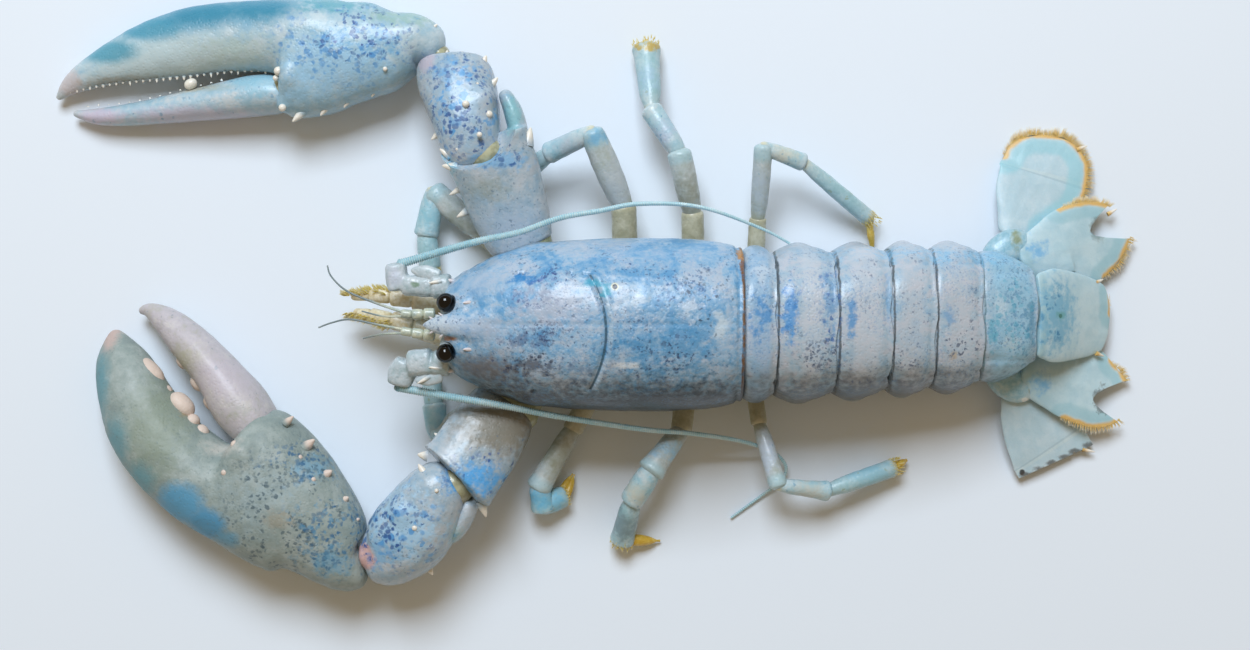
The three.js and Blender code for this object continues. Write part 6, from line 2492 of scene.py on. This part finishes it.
ARM_PIECES = (
    ArmPiece("arm_base_right", ((-28, 12, 15, 6, 5), (-30, 20, 17, 7.6, 6), (-33, 29.5, 20, 9, 7.2)),
             (2.0, 3.0)),
    ArmPiece(
        "merus_right",
        ((-32.6, 24, 19, 10.6, 7.4), (-37.8, 38.5, 22, 12.8, 8.2), (-41.4, 50, 24.6, 13.8, 8.6),
         (-43.8, 55.6, 25.8, 14.0, 8.6),
         (-45.0, 58.6, 26.4, 14.6, 8.8), (-45.4, 59.8, 26.6, 14.2, 8.4)),
        (3.0, 0.8),
        spines=(((-53.6, 50, 28), (-60.0, 50.8, 29), 1.9), ((-31.2, 57, 28), (-29.6, 65, 28), 2.2),
                ((-52, 44, 23), (-58, 40.6, 23), 1.4), ((-55.6, 53.4, 27.4), (-60.4, 57.0, 27.8), 1.5),
                ((-50.4, 36.6, 22), (-55.4, 33.6, 22), 1.5)),
        knobs=(((-46, 60.0, 34.2), 1.3), ((-53.0, 55.8, 31.0), 1.5)),
        lobes=(((-34, 54, 21, 3.0, 5), (-34.2, 61, 22, 3.2, 5.6), (-36.2, 69, 23, 3.0, 5),
                (-39.4, 75, 23.6, 1.8, 3)),),
        hollow=((-52.0, 66.4, 35.0), (18.5, 18.0, 13.0)),
    ),
    ArmPiece(
        "carpus_right",
        ((-47, 50, 24, 6.6, 7), (-49.4, 57.5, 23, 9.4, 10.2), (-51.0, 66, 21.6, 11.0, 11.8),
         (-53.2, 74, 19, 12.2, 12),
         (-55.4, 80.6, 16.8, 12.2, 11.2), (-56.0, 86, 15.2, 10.4, 9.4)),
        (3.4, 2.0),
        spines=(((-57.6, 84, 22), (-56.8, 89.6, 23), 1.5), ((-52.6, 84.6, 23), (-52.0, 88.8, 24), 1.2),
                ((-46.4, 82.4, 21), (-43.8, 88.0, 22), 1.9), ((-43.6, 76, 23), (-39.6, 80.4, 24), 1.7),
                ((-59, 62, 22), (-63.4, 58.2, 23), 1.6), ((-41.6, 60.6, 24), (-37.4, 57.8, 24.6), 1.4)),
        knobs=(((-50.4, 69.8, 33.2), 1.7), ((-43.2, 66.8, 30.4), 1.7), ((-60.4, 77, 26.4), 1.0),
               ((-47.0, 76.4, 29.6), 0.9)),
        bosses=(((-45, 72, 30), (0.8, 0.6, 1.0), 6),),
        lobes=(((-60.0, 80.0, 17, 4, 4), (-62.6, 82.6, 18, 4.6, 4.6), (-64.8, 85.4, 18, 3.8, 4)),),
    ),
    ArmPiece("arm_base_left", ((-30, -12, 15, 6, 5), (-33, -20, 17, 8, 6), (-39, -29.5, 20, 11, 7.2)),
             (2.0, 3.0)),
    ArmPiece(
        "merus_left",
        ((-37.6, -24, 19, 10, 7), (-42.2, -31.5, 21, 12.6, 7.8), (-47.6, -40, 24, 13.2, 8.4),
         (-51.4, -45.6, 25.4, 13.4, 8.6),
         (-53.6, -48.2, 26, 14.2, 9), (-54.4, -49.0, 26.2, 13.8, 8.6)),
        (3.0, 0.8),
        spines=(((-46, -56.4, 26), (-43.8, -63.6, 25), 1.9), ((-40, -44.6, 24), (-34.8, -43.4, 23.6), 1.4),
                ((-58, -37, 24), (-62.4, -34.0, 23), 1.4), ((-63, -42, 27), (-67.4, -41.2, 27.6), 1.9)),
        lobes=(((-50, -56, 22, 3.2, 5), (-51.4, -61, 22, 3.4, 5.4), (-54.2, -66, 21.6, 3.0, 4.6),
                (-57.6, -69.6, 21, 1.8, 3)),),
        hollow=((-59.0, -55.0, 31), (9.0, 9.6, 10.0)),
    ),
    ArmPiece(
        "carpus_left",
        ((-53.6, -48.5, 24, 6.5, 7), (-60.2, -54, 23.5, 10.6, 10.6), (-68.3, -66, 19.5, 13.4, 12.6),
         (-76.5, -73.4, 16.4, 11.4, 11.2), (-84.0, -75.4, 15, 7.5, 8)),
        (3.4, 2.4),
        spines=(((-62.6, -49, 29), (-67.0, -42.6, 29), 2.0), ((-72, -60, 25), (-76.6, -54.6, 25.4), 1.6),
                ((-64, -77, 20), (-61, -82, 21), 1.7), ((-73, -80, 18), (-72.4, -84.6, 19), 1.7)),
        knobs=(((-66.6, -64.4, 32.2), 1.5), ((-57.6, -64.0, 29.6), 1.3), ((-64.0, -76.0, 25.0), 1.2),
               ((-59.6, -52.6, 33.6), 1.0)),
        bosses=(((-70, -60, 29), (-0.8, 0.8, 1.0), 6),),
        lobes=(((-79.6, -73.6, 18, 3.6, 4), (-82.6, -74.2, 19.4, 4.6, 4.6), (-85.6, -74.6, 19.4, 3.6, 4)),),
    ),
)
JOINTS: tuple[tuple[Place, Place], ...] = (
    ((-32, 26.8, 18.6), (6.4, 5.0, 6.0)), ((-45.4, 54.6, 23.6), (7.6, 6.0, 7.4)),
    ((-60.4, 87.6, 13.0), (3.6, 3.6, 5.2)),
    ((-111.4, 76.6, 10.0), (4.4, 6.4, 7.4)), ((-37.4, -26.8, 18.6), (8.0, 5.0, 6.0)),
    ((-55.0, -51.4, 24.0), (7.0, 7.0, 7.4)), ((-84.4, -76.0, 14.0), (4.4, 4.4, 5.6)),
    ((-120.0, -37.4, 14.4), (6.6, 6.4, 9.4)),
)
LEGS = (
    Leg("right_1", (-29, 16, 6), (-45, 29, 6.2), (-62.6, 43, 6.8), (-65, 30, 6.4), (-64, 19, 5.4),
        (-62.4, 11.6, 3),
        (8.4, 8.2, 8, 6.6, 2.4), True),
    Leg("right_2", (0.4, 16, 7), (-0.4, 38, 14), (-10.6, 61.6, 22), (-24.6, 55.6, 15), (-33, 49, 7),
        (-39.6, 45.6, 2.4), (9, 7.2, 6.6, 5.6, 2.4), True),
    Leg("right_3", (22.4, 16, 7), (22, 36, 12), (17.6, 55.4, 16.5), (8.6, 69.6, 14), (7, 90.4, 5),
        (7, 93.4, 3.6),
        (8, 7.4, 6.8, 8.8, 3.4)),
    Leg("right_4", (42.4, 16, 7), (43.2, 34, 12), (44.6, 57, 20), (57.4, 52.6, 16), (80, 34.8, 5.4),
        (81.8, 24, 1),
        (6.2, 5.8, 5.6, 5, 1.6)),
    Leg("left_1", (-33, -15.6, 5.6), (-47, -26, 5.4), (-61.4, -36.4, 5.6), (-62.6, -27, 5.6),
        (-63.4, -19, 4.6),
        (-63.6, -13.6, 3), (8, 8, 7.4, 6, 2.4), True),
    Leg("left_2", (-7, -16, 7), (-17, -34, 8.4), (-28.2, -53, 9), (-26.8, -59, 6.6), (-20.6, -56.6, 4.2),
        (-17, -49.4, 2), (7.4, 7.8, 9, 6.6, 2), True),
    Leg("left_3", (20.6, -16, 7), (18.4, -34, 13), (8.6, -46.8, 18), (2.3, -57, 14), (-0.9, -70.6, 4.6),
        (11.4, -71.4, 1.2), (7.6, 8.8, 7.2, 7.6, 1.8)),
    Leg("left_4", (41.6, -16, 7), (43.6, -32, 11.5), (49.6, -52, 16), (65.6, -54.2, 11), (88, -47, 5.4),
        (92.6, -44.8, 2.4), (5.8, 5.8, 6.4, 5.6, 3)),
)
ANTENNAE = (
    Antenna(
        Side.RIGHT,
        stem=(
            ((-54.6, 12.2, 35.6, 3.8, 4.2), (-61, 12.0, 35, 4.0, 4.4)),
            ((-60.4, 12.0, 34.8, 3.6, 4.0), (-70.6, 12.4, 33.8, 3.2, 3.6)),
            ((-71.4, 10.6, 33.4, 3.4, 3.4), (-72.2, 15.4, 33.6, 3.6, 3.5), (-72.6, 19.6, 33.8, 3.1, 3.1)),
        ),
        scale=((-58, 15, 37.6, 2.2, 1.2), (-63, 16.4, 37.0, 2.4, 1.0), (-67.4, 17.2, 36.6, 0.7, 0.5)),
        whip=Whip((
            (-72.0, 19.6, 34.0), (-70.4, 19.4, 34.2), (-58.3, 22.9, 36.4), (-45.6, 26.3, 38.4),
            (-32.9, 29, 39.6),
            (-20.4, 33.4, 39.8), (-7.8, 35.7, 38.8), (4.7, 38, 37), (23.7, 37.2, 33), (43, 30.7, 29),
            (52.6, 25.8, 27.4),
        )),
        spines=(((-57.6, 13.6, 39.0), (-61.6, 13.0, 39.8), 0.9),),
    ),
    Antenna(
        Side.LEFT,
        stem=(
            ((-54.6, -12.6, 35.6, 3.8, 4.2), (-61, -11.8, 35.4, 4.2, 4.6)),
            ((-60.4, -11.6, 35.4, 4.4, 4.6), (-68.6, -12.4, 34.2, 4.2, 4.2)),
            ((-68.4, -11.6, 33.4, 4.0, 3.4), (-70.6, -15.6, 32.8, 4.5, 3.5), (-71.6, -19.6, 32.5, 3.6, 3.0)),
        ),
        scale=((-57.4, -15.8, 37.4, 2.2, 1.2), (-62, -17.0, 36.8, 2.4, 1.0), (-66.0, -17.8, 36.4, 0.7, 0.5)),
        whip=Whip((
            (-72.0, -20.0, 32.4), (-70.4, -20.2, 32.2), (-58.5, -22.3, 33), (-39.6, -25.5, 33),
            (-23.8, -28.7, 31.4),
            (-8, -31.4, 28.4), (8, -33.8, 24.6), (20.9, -35, 20.6), (36.4, -37.6, 13.6), (47.8, -41.4, 7.4),
            (52.8, -46.4, 4), (51.6, -51.6, 2.2), (46, -55.8, 1.2), (35, -63.9, 0.6),
        )),
        spines=(((-57.6, -13.8, 39.0), (-61.6, -13.4, 39.8), 0.9),
                ((-61.4, -16.4, 37.4), (-65.4, -18.6, 38.0), 0.9)),
    ),
)
ANTENNULES = (
    Antennule(
        Side.RIGHT,
        stalk=(
            ((-59.4, 3.4, 40, 1.9, 1.8), (-63.4, 3.3, 40, 1.9, 1.8)),
            ((-63.0, 3.3, 40, 1.6, 1.6), (-67, 3.2, 39.9, 1.8, 1.7)),
            ((-66.6, 3.2, 39.9, 1.4, 1.3), (-70.4, 3.4, 39.6, 1.5, 1.3)),
        ),
        whips=(
            Whip(((-69.4, 3.8, 39.6), (-78, 6.6, 37.6), (-87.4, 10.4, 36), (-92.6, 15, 35),
                  (-94, 18.6, 34.6)), 0.5, 0.27,
                 0.6, 8),
            Whip(((-69.4, 2.6, 39.4), (-76, 2.6, 37.6), (-83, 4.2, 35.4)), 0.45, 0.25, 0.6, 8),
        ),
    ),
    Antennule(
        Side.LEFT,
        stalk=(
            ((-59.4, -3.4, 40, 1.9, 1.8), (-63.4, -3.1, 40, 1.9, 1.8)),
            ((-63.0, -3.1, 40, 1.6, 1.6), (-67, -2.6, 39.9, 1.8, 1.7)),
            ((-66.6, -2.6, 39.9, 1.4, 1.3), (-70.4, -2.0, 39.6, 1.5, 1.3)),
        ),
        whips=(
            Whip(((-69.4, -1.6, 39.6), (-78, 0, 37.6), (-86.6, 1.6, 36), (-92.4, 0.6, 35),
                  (-96.8, -1, 34.6)), 0.5, 0.27,
                 0.6, 8),
            Whip(((-69.4, -2.8, 39.4), (-76, -3, 37.6), (-82.6, -4.4, 35.4)), 0.45, 0.25, 0.6, 8),
        ),
    ),
)
PALPS = (
    (Side.RIGHT, (
        ((-50, 6, 14, 3.6, 3.6), (-60, 7, 17, 4, 3.8), (-69, 8.4, 18.4, 3.6, 3.4)),
        ((-68, 8.2, 18.4, 3.0, 2.9), (-76, 9.2, 17.8, 3.2, 3.0)),
        ((-75.4, 9.1, 17.8, 2.5, 2.4), (-83, 9.4, 16.2, 2.3, 2.2)),
        ((-82.4, 9.4, 16.3, 1.9, 1.8), (-89, 9, 14, 1.2, 1.2)),
    )),
    (Side.LEFT, (
        ((-50, -6, 14, 3.6, 3.6), (-60, -3, 16, 4, 3.8), (-69, -0.4, 16.4, 3.6, 3.4)),
        ((-68, -0.6, 16.4, 3.0, 2.9), (-76, 1.6, 15.4, 3.2, 3.0)),
        ((-75.4, 1.4, 15.5, 2.5, 2.4), (-83, 3.4, 13.6, 2.3, 2.2)),
        ((-82.4, 3.3, 13.8, 1.9, 1.8), (-88.4, 4.2, 11.6, 1.2, 1.2)),
    )),
)


@dataclass(frozen=True)
class Mouth:
    """The two jointed palps under the head and their golden bristles."""

    bristle_length: float = 2.3
    tufts: int = 190
    waves: Pairs = ((3, 0.25),)

    def build(self, finish: Shell, bristles: Soft) -> list[Object]:
        """Model both palps and their bristles.

        Args:
            finish: The palps' look.
            bristles: The bristles' look.

        Returns:
            The pieces.
        """
        pieces = []
        roots: list[Root] = []
        dice = random.Random(SEED)
        for side, segments in PALPS:
            parts = [refined(Limb(rows, sides=18, root_dome=1.2, tip_dome=1.2).build("palp"), 1)
                     for rows in segments]
            node = f"maxilliped_{side.word}"
            palp = roughened(joined(node, parts), self.waves)
            pieces.append(placed(smoothed(palp), finish, "mouth", node))
            route = smooth_rows([row for rows in segments[1:] for row in rows[1:]] + [segments[-1][-1]], 6)
            for number in range(self.tufts):
                share = (number + dice.random()) / self.tufts
                row = route[min(round(share * (len(route) - 1)), len(route) - 1)]
                around = dice.uniform(-0.5, 1.35)
                if side is Side.LEFT:
                    around = math.pi - around
                out = Vector((0, math.cos(around), math.sin(around)))
                place = Vector(row[:3]) + Vector((dice.uniform(-2, 2), 0, 0)) + out * row[3] * 0.8
                lie = (out + Vector((-0.9, 0, 0))).normalized()
                where = (0.05 + 0.9 * share, 0.25 + 0.5 * (side.value > 0) + 0.06 * around)
                roots.append(Root(place, lie, self.bristle_length * dice.uniform(0.6, 1.1), where))
        hair = Tuft(hairs=4, thickness=0.07).grow("mouth_bristles", roots)
        pieces.append(placed(hair, bristles, "mouth"))
        return pieces


@dataclass(frozen=True)
class Studio:
    """The floor, the lights and the camera."""

    floor_tone: str = "#e6f0fa"
    world_tone: str = "#f6d9b0"
    world_strength: float = 0.36
    lamp_place: Place = (-240.0, 1230.0, 1680.0)
    lamp_size: float = 0.93
    lamp_power: float = 43.0
    lamp_tint: tuple[float, float, float] = (0.8, 0.891, 1.0)
    eye_height: float = 0.771
    eye_y: float = -0.000165
    lens: float = 67.16
    sensor_width: float = 36.0
    floor_size: float = 4.0
    floor_level: float = -0.0003
    floor_roughness: float = 0.55

    def build(self) -> None:
        """Lay the floor, hang the lamp, set the world and look straight down."""
        rest_tools()
        bpy.ops.mesh.primitive_plane_add(size=self.floor_size, location=(0, 0, self.floor_level))
        floor = bpy.context.object
        floor.name = "floor"
        material = bpy.data.materials.new("Pale floor")
        material.use_nodes = True
        shader = material.node_tree.nodes["Principled BSDF"]
        shader.inputs["Base Color"].default_value = tone(self.floor_tone)
        shader.inputs["Roughness"].default_value = self.floor_roughness
        floor.data.materials.append(material)
        spot = scaled(self.lamp_place)
        bpy.ops.object.light_add(type="AREA", location=spot, rotation=spot.to_track_quat("Z", "Y").to_euler())
        lamp = bpy.context.object
        lamp.name = "soft_lamp"
        lamp.data.size = self.lamp_size
        lamp.data.energy = self.lamp_power
        lamp.data.color = self.lamp_tint
        world = bpy.data.worlds.new("studio")
        bpy.context.scene.world = world
        world.use_nodes = True
        background = world.node_tree.nodes["Background"]
        background.inputs["Color"].default_value = tone(self.world_tone)
        background.inputs["Strength"].default_value = self.world_strength
        bpy.context.scene.view_settings.view_transform = "Standard"
        bpy.ops.object.camera_add(location=(0, self.eye_y, self.eye_height), rotation=(0, 0, 0))
        camera = bpy.context.object
        camera.data.lens = self.lens
        camera.data.sensor_width = self.sensor_width
        bpy.context.scene.camera = camera


def joint_skins() -> Object:
    """Model the soft skins between the shells of both arms as one piece."""
    skins = [knob(place, radii, 24, 0.0) for place, radii in JOINTS]
    whole = joined("joint_skins", skins)
    return placed(smoothed(whole), JOINT_SKIN, "belly")


def main() -> None:
    """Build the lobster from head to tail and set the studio."""
    logging.basicConfig(level=logging.INFO, format="%(message)s")
    Carapace().build(CARAPACE_LOOK)
    Eyes().build(EYE_GLOSS, HEAD_LOOK)
    Abdomen().build(RING_LOOK)
    Underside().build(BELLY_SKIN, LEAF_SKIN)
    fan = TailFan()
    fan.build(FAN_LOOK, OUTER_LOOK, STEM_LOOK)
    for piece in ARM_PIECES:
        piece.build(ARM_BASE_LOOK if "base" in piece.name else ARM_LOOK)
    RIGHT_CLAW.build(CUTTER_LOOK, CUTTER_FINGER_LOOK)
    LEFT_CLAW.build(CRUSHER_LOOK, CRUSHER_FINGER_LOOK)
    joint_skins()
    for leg in LEGS:
        leg.build(LEG_LOOKS)
    for antenna in ANTENNAE:
        antenna.build(HEAD_LOOK, WHIP_LOOK)
    for antennule in ANTENNULES:
        antennule.build(FORK_LOOK)
    Mouth().build(MOUTH_LOOK, GOLD_HAIR)
    roots = [root for number, blade in enumerate(fan.blades) for root in RimHair().roots(blade, number)]
    fringe = Tuft(hairs=4, thickness=0.075, spread=0.45, curl=0.03).grow("tail_fringe", roots)
    placed(fringe, AMBER_HAIR, "tail_fan")
    toe_tufts = Tuft(hairs=4, thickness=0.08).grow("leg_tufts", LegHair().roots(LEGS))
    placed(toe_tufts, GOLD_HAIR, "leg_shell")
    Studio().build()


if __name__ == "__main__":
    main()
